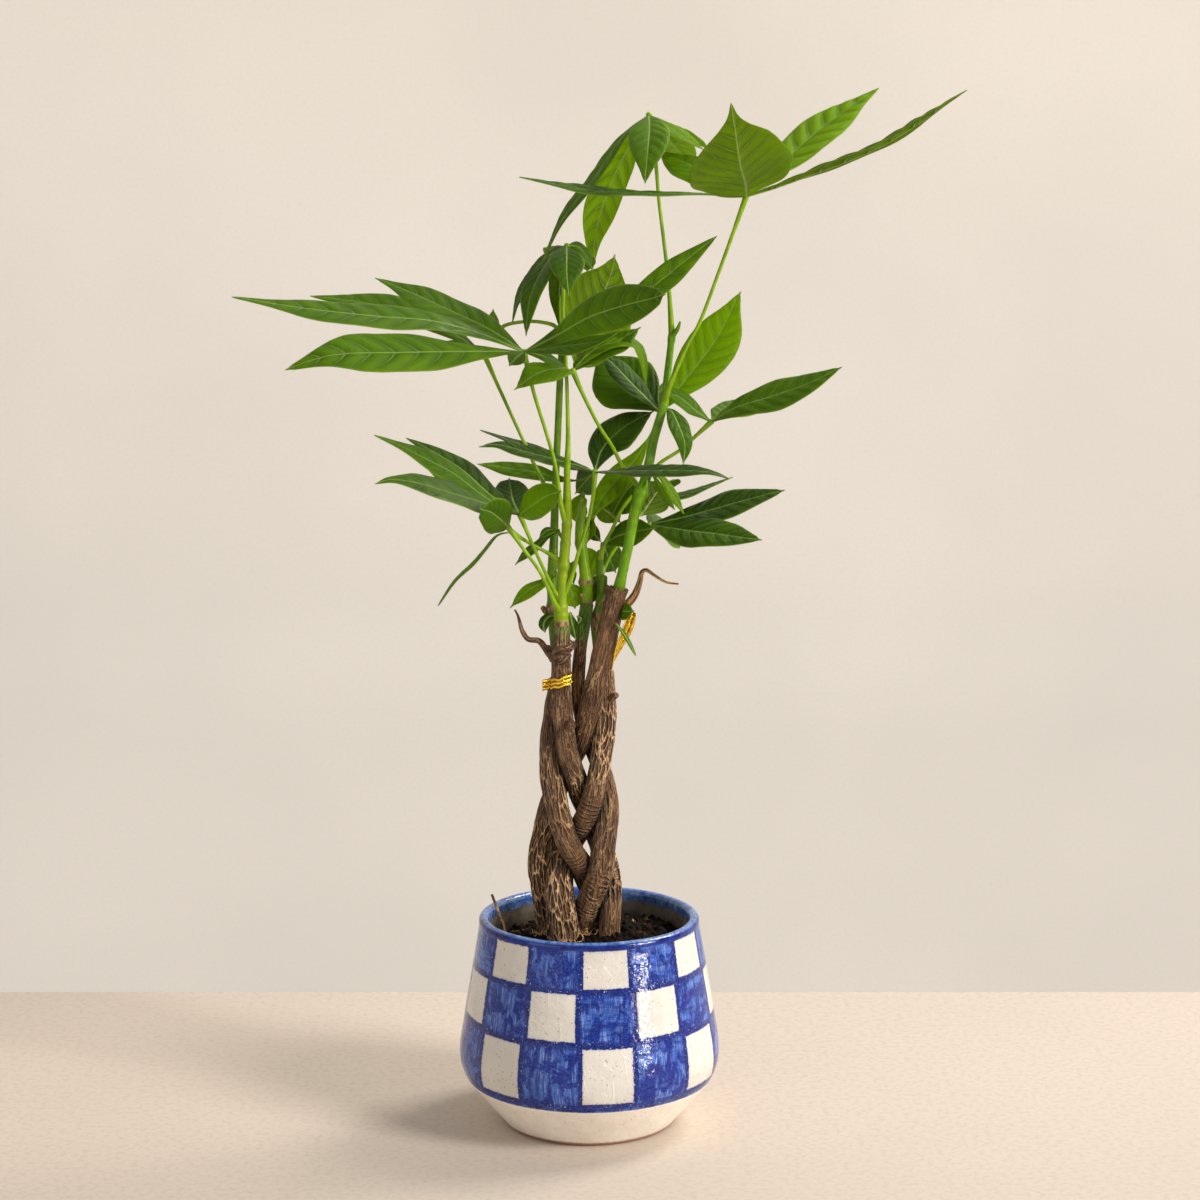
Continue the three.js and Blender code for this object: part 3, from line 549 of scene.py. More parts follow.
# %% [markdown]
# Bark of a money tree is a mass of thin pale strands with dark grooves beside them. Low on old trunks
# the strands part and meet again as a net, and round a bend the bark folds into fine rings. All three
# are drawn from the place on the limb: the way round it and the way along it. The growth and the
# material both use that place, so the fine lines of the material lie on the ridges of the mesh.

# %% Limbs
STRANDS = dict(per_metre=720, along=0.055, ridge=0.26 * MM)
NET = dict(per_metre=430, along=0.19, ridge=0.6 * MM)
WANDER = dict(per_metre=150, along=0.4, size=3.4 * MM, curl=1.0 * MM)
RINGS = dict(pitch=2.3 * MM, height=0.16 * MM, swing=16)
TORN_LENGTH = 3.4 * MM


def bark_lines(bench, place, reach):
    """Distances from the strands and from the net, and the fold of the rings, on a limb."""
    slow = place.stretched((1, 1, WANDER["along"]))
    sway = (slow.noise(WANDER["per_metre"], 2) - 0.5) * WANDER["size"]
    curl = (place.noise(WANDER["per_metre"] * 4, 2) - 0.5) * WANDER["curl"]
    swayed = added(bench, place, bench.vector(sway + curl, curl - sway, sway + curl))
    strands = swayed.stretched((1, 1, STRANDS["along"])).cells(STRANDS["per_metre"])
    net = swayed.stretched((1, 1, NET["along"])).cells(NET["per_metre"])
    swing = place.stretched((1, 1, 0.5)).noise(110, 2) * RINGS["swing"]
    fold = (reach * (2 * math.pi / RINGS["pitch"]) + swing).sine()
    return strands, net, fold


def draw_limb(bench, given):
    skin = sweep(bench, given, "Around")
    names = ("turn", "girth", "reach", "seed", "net", "rings")
    turn, radius, reach, seed, netted, ringed = [field(bench, name) for name in names]
    cosine = turn.math("COSINE", turn)
    sine = turn.sine()
    rough = given["Roughness"]
    place = bench.vector(cosine * radius + seed, sine * radius, reach)
    lumps = (place.stretched((1, 1, 0.5)).noise(90, 2) - 0.5) * radius * 0.42
    strands, net, fold = bark_lines(bench, place, reach)
    ridge = 1 - strands.step(0.04, 0.3)
    strand_lift = ((ridge - 0.5) * STRANDS["ridge"] * field(bench, "cracks")
                   * (1 - netted * 0.6) * (1 - ringed))
    net_lift = (0.6 - net.step(0.03, 0.3)) * NET["ridge"] * netted
    relief = (strand_lift + net_lift + fold * RINGS["height"] * ringed) * rough
    out = radius + (lumps * rough + relief) * (radius / (3.0 * MM)).clamped()
    shred = bench.vector(cosine, sine, seed).noise(4.5, 3, 0.7) - 0.42
    torn = shred * TORN_LENGTH * 2 * field(bench, "torn")
    across = field(bench, "across", "FLOAT_VECTOR")
    beside = field(bench, "beside", "FLOAT_VECTOR")
    round_it = added(bench, scaled(bench, across, cosine * out), scaled(bench, beside, sine * out))
    spot = added(bench, field(bench, "centre", "FLOAT_VECTOR"), round_it, bench.vector(0.0, 0.0, torn))
    skin = kept(bench, skin, "limb_place", place, kind="FLOAT_VECTOR")
    return bench.make("GeometryNodeSetPosition", {}, {"Geometry": skin, "Position": spot})


limb_tree = growth("limb", {"Around": ("Int", 24), "Roughness": ("Float", 1.0)}, draw_limb)
PLAIN_LIMB = dict(cracks=0.0, net=0.0, rings=0.0, torn=0.0, woody=0.0, seed=0.0)


def limb(points, radii, step, rounding=0.6, **carries):
    return limb_line(points, radii, step, rounding, **{**PLAIN_LIMB, **carries})


print("limb tree:", len(limb_tree.nodes), "nodes")

# %% [markdown]
# Bark colour follows the same lines: pale tan on a strand or a ridge of the net, partly the bark's own colour
# and partly a painted highlight, and dark brown in the groove beside it as painted shade, warm brown between.
# Slow noise makes redder and greyer patches, and decides where the strands stand out. Rings are pale crests
# as painted highlight with dark folds as painted shade, and painted shade darkens the crevices where the
# trunks crowd each other.

# %% Bark and stem materials
def draw_bark(bench):
    place = own_place(bench)
    limb_place = carried_vector(bench, "limb_place")
    netted, ringed, cracked = [carried(bench, name) for name in ("net", "rings", "cracks")]
    strands, net, fold = bark_lines(bench, limb_place, carried(bench, "reach"))
    patches = place.noise(45, 3, 0.6)
    shown = limb_place.stretched((1, 1, 0.3)).noise(130, 3, 0.6).step(0.36, 0.6)
    fibres = limb_place.stretched((1, 1, 0.1)).noise(1500, 3, 0.7)
    specks = place.noise(900, 3, 0.7)
    body = bench.blend(patches.step(0.32, 0.68), screen(82, 49, 24), screen(130, 89, 53))
    body = body.coat(fibres.step(0.5, 0.66) * 0.5, 170, 124, 80)
    body = body.coat((1 - fibres.step(0.36, 0.5)) * 0.55, 44, 26, 12)
    strand_share = cracked * (1 - netted * 0.6) * (1 - ringed * 0.7)
    # Pale strands are partly the bark's own colour and partly a painted highlight; the dark grooves beside
    # them are painted shade.
    pale = (1 - strands.step(0.02, 0.1)) * strand_share * shown
    painted_groove_shade = strands.step(0.08, 0.16) * (1 - strands.step(0.2, 0.36)) * strand_share
    body = body.coat(painted_groove_shade * 0.55, 34, 19, 8)
    body = body.coat(pale * 0.6, 204, 168, 120)
    # Net ridges are pale, partly the bark's own colour and partly a painted highlight; the hollows beside
    # them are painted shade.
    crest_and_highlight = (1 - net.step(0.02, 0.09)) * netted * (shown * 0.75 + 0.25)
    painted_hollow_shade = net.step(0.08, 0.16) * (1 - net.step(0.22, 0.4)) * netted
    body = body.coat(painted_hollow_shade * 0.62, 34, 19, 8)
    body = body.coat(crest_and_highlight * 0.92, 238, 194, 144)
    broken = limb_place.stretched((1, 1, 1.6)).noise(210, 2).step(0.42, 0.58)
    on_rings = ringed * broken
    # Rings: the dark folds are painted shade and the pale crests are painted highlight.
    body = body.coat((0 - fold).step(0.5, 0.98) * on_rings * 0.45, 36, 20, 9)
    body = body.coat(fold.step(0.7, 1) * on_rings * 0.5, 200, 160, 110)
    body = body.coat(specks.step(0.62, 0.74) * 0.4, 40, 25, 14)
    living = carried(bench, "living") * (patches + fibres * 0.4).step(0.6, 0.72)
    body = body.coat(living * 0.9, 96, 138, 34)
    dry = (0 - carried(bench, "living")).step(0.3, 0.7)
    split = limb_place.stretched((1, 1, 0.06)).noise(800, 1).step(0.44, 0.54)
    straw = bench.blend(split, screen(56, 33, 16), screen(204, 152, 90))
    body = bench.blend(dry * 0.85, body, straw)
    # Painted shade in the crevices where the trunks crowd each other.
    body = body.coat(carried(bench, "painted_crevice_shade") * 0.92, 14, 8, 4)
    height = (1 - strands.step(0.02, 0.3)) * strand_share * 0.7 + (1 - net.step(0.02, 0.26)) * netted * 1.4
    height = height + fold * on_rings * 0.5 + fibres * 0.5 + specks * 0.3
    return {"Base Color": body, "Roughness": 0.42 + specks * 0.3, "height": height, "strength": 1.0,
            "depth": 0.0018}


bark = material("bark_ridged", draw_bark)


def draw_stem(fresh, deep, shine):
    """A green stem, with brown scars where the line it follows is woody."""
    def draw(bench):
        place = own_place(bench)
        woody = carried(bench, "woody")
        drawn = place.stretched((1, 1, 0.2))
        streaks = drawn.noise(700, 3, 0.6)
        patches = place.noise(120, 3, 0.6)
        dots = place.noise(1500, 2, 0.6)
        body = bench.blend(patches.step(0.3, 0.75) * 0.7, screen(*fresh), screen(*deep))
        body = bench.blend(streaks.step(0.5, 0.72) * 0.3, body, screen(*shine))
        body = body.coat(dots.step(0.66, 0.74) * 0.6, 88, 84, 30)
        ragged = (woody + (streaks - 0.5) * 0.7 + (dots - 0.5) * 0.3).step(0.4, 0.66) * woody.step(0.05, 0.2)
        wood = bench.blend(streaks.step(0.4, 0.66), screen(94, 66, 40), screen(168, 138, 98))
        body = bench.blend(ragged, body, wood)
        height = streaks * 0.6 + dots * 0.3 + ragged * 0.6
        return {"Base Color": body, "Roughness": 0.3 + ragged * 0.4, "height": height, "strength": 0.35,
                "depth": 0.0004}
    return draw


STEM_COLOURS = {
    "shoot_a": ((138, 164, 14), (104, 136, 10), (184, 196, 50)),
    "shoot_b": ((130, 168, 10), (86, 126, 10), (178, 202, 50)),
    "shoot_c": ((108, 154, 8), (70, 116, 6), (172, 204, 66)),
    "shoot_d": ((96, 132, 22), (58, 92, 14), (134, 164, 50)),
    "shoot_e": ((98, 134, 14), (60, 96, 10), (156, 184, 40)),
}
STEM_LOOK = {"Specular IOR Level": 0.3}
stem_finishes = {name: material("stem_of_" + name, draw_stem(*colours), **STEM_LOOK)
                 for name, colours in STEM_COLOURS.items()}
draw_petiole = draw_stem((136, 172, 10), (92, 134, 8), (186, 208, 60))
petiole_finish = material("petiole_green", draw_petiole, **STEM_LOOK)
print("stem finishes:", len(stem_finishes) + 1)

# %% [markdown]
# The trunks are braided. Their lines are drawn where the picture shows them, and then pushed apart
# sideways, in the same way and the same number of rounds as in the CAD part. So the fine bark lies
# where the solids are. It is drawn a little fuller than they are afterwards, and there the trunks
# press into each other, as braided trunks do when they thicken.

# %% Trunk lines
TRUNKS = dict(
    trunk_a=dict(
        path=[
            (562, 626, -2), (561, 660, -6), (561, 687, -7), (561, 714, -7), (565, 740, -8), (570, 758, -7),
            (575, 777, -3), (581, 795, 3), (587, 813, 7), (595, 832, 7), (604, 850, 6), (611, 868, 3),
            (613, 885, 0), (612, 900, -4), (610, 919, -7), (608, 935, -8), (608, 962, -8),
        ],
        radii=[4.1, 4.6, 4.9, 5.3, 5.7, 5.7, 5.5, 5.2, 5.2],
    ),
    trunk_b=dict(
        path=[
            (587, 604, 6), (581, 640, 3), (577, 669, 1), (576, 687, 1), (577, 705, 2), (577, 720, 5),
            (583, 738, 9), (597, 755, 9), (608, 770, 4), (610, 787, 0), (609.5, 800, -2), (609, 825, -5),
            (605.5, 845, -7), (602, 860, -7), (596, 879, -7), (587, 898, -6), (581, 914, -2),
            (577, 932, 3), (576, 962, 5),
        ],
        radii=[3.3, 3.1, 3.4, 4.0, 4.8, 5.8, 6.2, 6.2, 6.3],
    ),
    trunk_c=dict(
        path=[
            (617, 589, -4), (611, 620, -4), (604, 650, -5), (598, 669, -6), (594.5, 687, -6), (590, 713, -6),
            (585, 731, -3), (577, 750, 3), (568, 765, 8), (559, 778, 9), (552, 792, 7), (547.5, 808, 3),
            (545, 834, 1), (544.5, 859, 3), (545, 884, 5), (548, 904, 6), (550, 920, 7), (551, 935, 7),
            (551, 962, 7),
        ],
        radii=[5.2, 5.2, 5.3, 5.4, 5.6, 5.8, 6.2, 6.5, 6.8],
    ),
    trunk_d=dict(
        path=[
            (604, 672, 8), (606, 690, 5), (606, 708, 2), (606, 724, -2), (604, 745, -5), (600, 770, -8),
            (595.5, 790, -8), (589, 810, -8), (583, 824, -4), (574, 839, 3), (564, 853, 6), (558, 868, 0),
            (559, 888, -6), (564, 907, -9), (568.5, 923, -10), (570, 940, -10), (570, 962, -10),
        ],
        radii=[4.6, 5.0, 5.0, 5.3, 5.4, 5.6, 5.8, 6.2, 6.6],
    ),
    trunk_e=dict(
        path=[
            (553, 612, 9), (554, 640, 9), (558, 665, 8), (561, 690, 8), (556, 708, 6), (551, 723, 3),
            (548.5, 740, 0), (548.5, 758, -4), (550, 776, -7), (552, 790, -8), (559, 820, -8),
            (566, 835, -8), (571.5, 849, -7), (577, 864, -3), (584, 876, 3), (594, 890, 8),
            (602, 905, 9), (604, 935, 10), (604, 962, 10),
        ],
        radii=[3.6, 4.6, 5.3, 5.7, 5.7, 5.8, 5.8, 5.8, 6.0],
    ),
)
BRAID = dict(steps=28, rounds=160, clearance=0.7, smoothing=0.12)


def braided_lines():
    names = list(TRUNKS)
    count = 2 * BRAID["steps"] + 1
    lines = [smooth_line_spaced(placed(TRUNKS[name]["path"]), count) for name in names]
    radii = [run(TRUNKS[name]["radii"], np.linspace(0, 1, count)) for name in names]
    for _ in range(BRAID["rounds"]):
        for line in lines:
            middle = (line[:-2, :2] + line[2:, :2]) / 2
            line[1:-1, :2] += BRAID["smoothing"] * (middle - line[1:-1, :2])
        for one in range(len(lines)):
            for other in range(one + 1, len(lines)):
                push_apart(lines[one], lines[other], radii[one], radii[other])
    return {name: line[::2] for name, line in zip(names, lines)}


def smooth_line_spaced(points, count):
    return spaced(smooth_line(points, 40 * count), count)


def push_apart(here, there, here_radii, there_radii):
    """Moves two lines apart sideways until their limbs no longer meet."""
    need = here_radii[:, None] + there_radii[None, :] + BRAID["clearance"]
    gap = np.linalg.norm(here[:, None] - there[None, :], axis=2)
    for i, j in zip(*np.nonzero(gap < need + 1.0)):
        apart = here[i] - there[j]
        short = need[i, j] - np.linalg.norm(apart)
        if short <= 0:
            continue
        apart[2] = 0
        apart *= short / 2 / max(np.linalg.norm(apart), 1e-9)
        here[i] += apart
        there[j] -= apart


trunk_lines = braided_lines()
for name, line in trunk_lines.items():
    low, high = (np.array(corner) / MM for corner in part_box(name))
    print(name, "line spans", line.min(axis=0).round(1), line.max(axis=0).round(1))
    print(name, "box spans", low.round(1), high.round(1))

# %% [markdown]
# Each trunk is one dense limb. Bands of net bark and of rings are given by the picture rows between
# which they show. A dead dry stalk grows out of two of the trunks, knots are short limbs that start
# inside the trunk, and the top of trunk c is a torn woody cup. Such marks stay on a trunk where a stem
# was cut back or died, and they are limbs too because they are round and follow a line.

# %% Trunks
DEAD_STALKS = dict(
    trunk_e=dict(
        path=[
            (556, 657, 7), (550, 655, 3), (545, 648, 2), (539, 641, 2), (528, 639, 1), (522, 630, 0),
            (518, 616, 0), (515, 610, 0),
        ],
        radii=(2.1, 1.7, 1.4, 0.5),
    ),
    trunk_c=dict(
        path=[
            (614, 609, -4), (628, 603, -3), (635, 594, -3), (640, 580, -3), (642, 572, -3), (646, 570, -3),
            (654, 575, -4), (666, 582, -5), (678, 584, -6),
        ],
        radii=[2.2, 2.3, 1.8, 1.1, 0.8, 0.5],
    ),
)
TRUNK_BARK = {
    "trunk_a": dict(net=[(770, 900, 1.0), (640, 700, 0.3)], rings=[(862, 892, 0.5)], cracks=0.9),
    "trunk_b": dict(net=[(800, 960, 0.35)], rings=[(868, 914, 1.0)], cracks=0.8),
    "trunk_c": dict(net=[(822, 960, 1.0)], rings=[], cracks=1.0),
    "trunk_d": dict(net=[(700, 780, 0.8), (838, 960, 1.0)], rings=[(794, 832, 1.0)], cracks=0.9),
    "trunk_e": dict(net=[(760, 832, 0.7), (880, 960, 0.7)], rings=[(844, 868, 1.0)], cracks=0.8),
}
KNOTS = {
    "trunk_a": [dict(to=[(567, 722, -7), (571, 725, -14.5)], radii=[3.6, 2.6])],
    "trunk_d": [dict(to=[(606, 702, 3), (613, 697, -2), (616, 695, -4)], radii=[2.6, 2.2, 1.7])],
    "trunk_e": [dict(to=[(554, 655, 9), (549, 652, 4), (547, 648, 3)], radii=[3.4, 2.8, 2.2])],
}
BAND_FADE = 9.0
BARK_FULLNESS = 1.13
WOODY_FROM = {"trunk_e": 645}
TUCKED = {"trunk_e": (668, 712, 2.6), "trunk_d": (930, 850, -2.2)}
SWOLLEN = {"trunk_d": [(930, 0.3, 32.0)]}
GROWN_TOGETHER = {"trunk_c": "trunk_d", "trunk_d": "trunk_c"}
CREVICE_SHADE_REACH = 7.5
CREVICE_SHADE_TOP = 700
CUP = dict(depth=3.0, wall=0.55, flare=0.26, flare_reach=7 * MM, torn_points=9)
SMOOTH_CUP = (560, 655, 0.55)
LIVING = {"trunk_b": [(560, 640, 1.0)], "trunk_a": [(600, 634, 0.8)], "trunk_e": [(600, 668, 0.6)]}


def height_of(row):
    return at((600, row, 0))[2]


def bands(line, spans):
    """How strongly something shows at each point, from (upper row, lower row, strength) spans."""
    height = line[:, 2]
    whole = np.zeros(len(line))
    for upper, lower, strength in spans:
        above = np.clip((height_of(upper) + BAND_FADE / 2 - height) / BAND_FADE, 0, 1)
        below = np.clip((height - height_of(lower) + BAND_FADE / 2) / BAND_FADE, 0, 1)
        whole = np.maximum(whole, strength * above * below)
    return whole


def torn_cup(line):
    """Gives a limb line a hollow top: the ring turns in at the top and goes down a little."""
    depth, wall = CUP["depth"], CUP["wall"]
    skin = {key: np.asarray(value)[4:] for key, value in line.items()}
    top = {key: value[0] for key, value in skin.items()}
    down = np.array([0.0, 0.0, -1.0])
    inner = [(0.0, 0.9, 1.0), (0.2, wall + 0.1, 0.8), (0.7, wall, 0.2), (1.0, wall * 0.8, 0.0)]
    extra = {key: [] for key in skin}
    for sunk, share, torn in reversed(inner):
        for key, value in top.items():
            if key == "centre":
                value = value + down * depth * sunk
            elif key == "girth":
                value = value * share
            elif key == "torn":
                value = torn
            extra[key].append(value)
    skin["torn"] = np.clip(1 - np.arange(len(skin["torn"])) / CUP["torn_points"], 0, 1)
    return {key: np.concatenate([np.array(extra[key]), skin[key]]) for key in skin}


def knotted(radius, line, marks):
    """Swells a limb at heights: marks are (row, share, half length in mm)."""
    for row, share, length in marks:
        radius *= 1 + share * np.exp(-((line[:, 2] - height_of(row)) / length) ** 2)
    return radius


def nudged(name, line):
    """Shifts an end of a limb sideways: trunk e in behind trunk a, trunk d over the foot of trunk c."""
    if name in TUCKED:
        upper, lower, shift = TUCKED[name]
        share = np.clip((line[:, 2] - height_of(lower)) / (height_of(upper) - height_of(lower)), 0, 1)
        line[:, 0] += shift * share * share * (3 - 2 * share)
    return line


def paint_crevice_shade(piece, own):
    """Paints shade into the crevices: marks how near each point of a trunk lies to the other trunks."""
    corners = np.empty(3 * len(piece.data.vertices), dtype=np.float32)
    piece.data.vertices.foreach_get("co", corners)
    corners = corners.reshape(-1, 3) / MM
    nearest = np.full(len(corners), 100.0)
    for name, line in trunk_lines.items():
        if name in (own, GROWN_TOGETHER.get(own)):
            continue
        radii = run(TRUNKS[name]["radii"], np.linspace(0, 1, len(line)))
        gap = np.linalg.norm(corners[:, None] - line[None], axis=2) - np.array(radii)[None]
        nearest = np.minimum(nearest, gap.min(axis=1))
    low = np.clip((height_of(CREVICE_SHADE_TOP) - corners[:, 2]) / (2 * CREVICE_SHADE_REACH), 0, 1)
    shade = np.clip(1 - nearest / CREVICE_SHADE_REACH, 0, 1) ** 1.3 * low
    layer = piece.data.attributes.new("painted_crevice_shade", "FLOAT", "POINT")
    layer.data.foreach_set("value", shade.astype(np.float32))


for number, (name, trunk) in enumerate(TRUNKS.items()):
    finish = TRUNK_BARK[name]
    centre = nudged(name, trunk_lines[name].copy())
    radii = np.array(run(trunk["radii"], np.linspace(0, 1, len(centre)))) * BARK_FULLNESS
    radii = knotted(radii, centre, SWOLLEN.get(name, []))
    kept_rows = centre[:, 2] < height_of(WOODY_FROM.get(name, 0))
    line = limb(centre[kept_rows], radii[kept_rows], 0.85, 0.35, cracks=finish["cracks"], seed=number * 0.37)
    line["net"] = bands(line["centre"], finish["net"])
    line["rings"] = bands(line["centre"], finish["rings"])
    line["living"] = bands(line["centre"], LIVING.get(name, []))
    if name == "trunk_c":
        line["cracks"] = line["cracks"] * (1 - bands(line["centre"], [SMOOTH_CUP]))
        flare = np.clip(1 - line["reach"] / CUP["flare_reach"], 0, 1) ** 1.5
        line["girth"] = line["girth"] * (1 + CUP["flare"] * flare)
        line = torn_cup(line)
    twigs = [limb(placed(knot["to"]), knot["radii"], 0.7, 0.7, cracks=0.6, seed=0.9)
             for knot in KNOTS.get(name, [])]
    if name in DEAD_STALKS:
        stalk = DEAD_STALKS[name]
        twigs.append(limb(placed(stalk["path"]), stalk["radii"], 0.6, 0.8, cracks=0.6, living=-1.0,
                          seed=0.5))
    pieces = [grown("fine_" + name, skeleton(name + "_line", [line]), limb_tree, bark, Around=72)]
    if twigs:
        start = skeleton(name + "_twig_lines", twigs)
        pieces.append(grown(name + "_twigs", start, limb_tree, bark, Around=18))
    piece = joined(pieces, "fine_" + name)
    paint_crevice_shade(piece, name)
    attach(piece, "root")
    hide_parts(name)
    print(piece.name, len(piece.data.polygons), "faces")

# %% [markdown]
# At the tops of trunks a and d the old leaf sheaths have dried to a knobby collar: knobs of many sizes
# and a few curled fibres round the trunk. At the soil, thin pale roots curl out of the trunk bases.
# They are short limbs too, the collar ones placed by the picture, the roots strewn with a seed.

# %% Collar and roots
COLLAR = [
    dict(to=[(552, 654, -1), (556, 660, -6), (563, 661, -10), (569, 655, -8)], radii=[1.6, 2.4, 2.2, 1.6]),
    dict(to=[(553, 648, 0), (557, 645, -5), (564, 648, -9), (571, 645, -6), (573, 642, -2)],
         radii=[0.9, 1.2, 1.3, 1.1, 0.6]),
    dict(to=[(556, 653, -6), (561, 651, -9), (568, 651, -9)], radii=[2.3, 2.6, 1.6]),
    dict(to=[(559, 664, -7), (563, 667, -9), (567, 664, -8)], radii=[1.2, 1.8, 1.0]),
    dict(to=[(570, 650, -7), (574, 646, -6), (574, 641, -5)], radii=[1.3, 0.9, 0.4]),
    dict(to=[(551, 651, 1), (550, 657, 0), (551, 661, -1)], radii=[1.4, 1.5, 0.8]),
    dict(to=[(565, 643, -7), (571, 648, -8), (574, 644, -4), (570, 640, 0)], radii=[0.5, 0.6, 0.6, 0.4]),
    dict(to=[(598, 673, 3), (602, 667, 0), (605, 660, 2)], radii=[1.8, 2.2, 1.2]),
    dict(to=[(600, 664, 0), (605, 668, -2), (607, 673, -1)], radii=[0.8, 1.0, 0.5]),
]
collar_lines = [limb(placed(knob["to"]), knob["radii"], 0.5, 0.8, cracks=1.0, seed=0.2 * i)
                for i, knob in enumerate(COLLAR)]
collar_start = skeleton("collar_lines", collar_lines)
collar = grown("bark_collar", collar_start, limb_tree, bark, Around=18, Roughness=1.5)
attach(collar, "root")
ROOTS = dict(count=54, length=(7.0, 19.0), radius=(0.3, 0.6), curl=0.75, steps=9, ground=111.5)
SOIL = dict(edge=100, mound=10, reach=58, tilt=0.04, lump=0.7, pace=(0.31, 0.27), clearance=0.6, sectors=150)


def soil_height(x, y):
    nearness = 1 - (x * x + y * y) / SOIL["reach"] ** 2
    lumps = SOIL["lump"] * math.sin(SOIL["pace"][0] * x + 1) * math.cos(SOIL["pace"][1] * y)
    return SOIL["edge"] + SOIL["mound"] * nearness + SOIL["tilt"] * (x + y) + lumps


def root_line(chance, name):
    """A thin root that leaves the base of a trunk and curls over the soil."""
    line = trunk_lines[name]
    base = line[int(np.argmin(abs(line[:, 2] - ROOTS["ground"])))]
    girth = float(run(TRUNKS[name]["radii"], [0.0])[0])
    heading = chance.uniform(-math.pi * 0.95, -math.pi * 0.05)
    spot = base + np.array([math.cos(heading), math.sin(heading), 0.0]) * girth * 0.9
    spot[2] = soil_height(spot[0], spot[1]) + chance.uniform(0.5, 3.0)
    pace = chance.uniform(*ROOTS["length"]) / ROOTS["steps"]
    points = [spot]
    turning = chance.uniform(-ROOTS["curl"], ROOTS["curl"])
    for _ in range(ROOTS["steps"]):
        heading += turning + chance.uniform(-0.4, 0.4)
        spot = spot + np.array([math.cos(heading), math.sin(heading), 0.0]) * pace
        spot[2] = soil_height(spot[0], spot[1]) + 2.2 + chance.uniform(-1.4, 1.8)
        points.append(spot)
    return limb(np.array(points), [chance.uniform(*ROOTS["radius"]), 0.2], 0.8, 0.8, cracks=0.0, seed=0.1)


def draw_root(bench):
    place = own_place(bench)
    skin = place.noise(500, 3, 0.6)
    body = bench.blend(skin.step(0.36, 0.6), screen(92, 60, 30), screen(206, 166, 112))
    return {"Base Color": body, "Roughness": 0.6 - skin * 0.2, "height": skin, "strength": 0.5,
            "depth": 0.0005}


root_finish = material("root_pale", draw_root)
chance = np.random.default_rng(21)
ROOTED = ("trunk_c", "trunk_e", "trunk_b", "trunk_d")
root_lines = [root_line(chance, ROOTED[i % len(ROOTED)]) for i in range(ROOTS["count"])]
root_start = skeleton("root_lines", root_lines)
roots = grown("fine_roots", root_start, limb_tree, root_finish, Around=7, Roughness=0.6)
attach(roots, "root")
print("collar faces:", len(collar.data.polygons), "root faces:", len(roots.data.polygons))

# %% [markdown]
# The green shoots carry what the years left on them: swollen nodes, brown rings and corky patches.
# Each mark is a picture row, a swelling, a length and how woody it is. Each shoot starts inside the
# torn or swollen top of its trunk, as it does on the living plant.

# %% Shoots
SHOOTS = dict(
    shoot_a=dict(
        path=[(562, 630, -2), (561, 600, -3), (564, 560, -3), (567, 520, -4), (567, 495, -5), (567, 470, -7)],
        radii=[3.6, 3.3, 3.0, 2.7, 2.5, 1.6],
    ),
    shoot_b=dict(
        path=[(587, 608, 6), (586.5, 586, 6), (583, 558, 6), (580, 535, 8), (581, 515, 11), (584, 500, 13)],
        radii=[3.1, 3.5, 3.0, 3.1, 2.6, 1.9],
    ),
    shoot_c=dict(
        path=[
            (618, 593, -4), (622, 575, -5), (628.7, 544, -6), (635.7, 509, -6), (641.5, 491, -6),
            (646, 477, -5), (654, 439, -4), (664, 403, -4), (668, 370, -3), (672, 334, 0),
        ],
        radii=[3.0, 2.8, 2.9, 3.1, 2.8, 2.5, 2.3, 2.0, 1.8],
    ),
    shoot_d=dict(
        path=[(604, 675, 8), (598, 645, 9), (596, 620, 9), (601, 598, 9), (600, 575, 9), (600, 552, 8)],
        radii=[3.2, 2.9, 2.8, 2.4, 2.1, 1.8],
    ),
    shoot_e=dict(
        path=[
            (553, 616, 9), (552, 590, 10), (552, 575, 11), (554, 540, 11), (555, 500, 14), (556.5, 460, 18),
            (557.5, 440, 18), (560, 380, 17), (562, 340, 16),
        ],
        radii=[2.8, 2.4, 2.1, 2.0, 2.0, 1.9, 1.7],
    ),
)
SHOOT_MARKS = {
    "shoot_a": [(565, 0.30, 2.0, 0.3), (575, 0.1, 1.2, 0.0), (606, 0.22, 1.6, 0.45), (614, 0.2, 1.6, 0.3),
                (624, 0.25, 3.5, 0.9), (543, 0.12, 1.5, 0.0), (524, 0.15, 1.8, 0.0)],
    "shoot_b": [(583, 0.32, 2.2, 0.7), (596, 0.1, 2.2, 0.4), (606, 0.05, 6.0, 0.6), (545, 0.15, 2.0, 0.0)],
    "shoot_c": [(566, 0.06, 1.4, 0.2), (583, 0.12, 4.0, 0.3), (491, 0.38, 2.6, 0.2), (404, 0.16, 2.0, 0.2),
                (472, 0.12, 1.8, 0.0), (338, 0.25, 2.5, 0.2)],
    "shoot_d": [(604, 0.16, 2.0, 0.8), (578, 0.2, 2.0, 0.3), (619, 0.08, 3.2, 0.9), (629, 0.06, 3.0, 0.9),
                (650, 0.05, 4.5, 1.0), (662, 0.15, 4.0, 1.0), (558, 0.15, 2.0, 0.0)],
    "shoot_e": [(611, 0.35, 3.0, 0.9), (590, 0.12, 2.0, 0.3), (556, 0.08, 1.6, 0.2), (503, 0.16, 1.8, 0.2),
                (343, 0.3, 2.4, 0.2)],
}
SHOOT_ROOTS = {"shoot_e": [(556, 652, 9), (554, 634, 9)]}
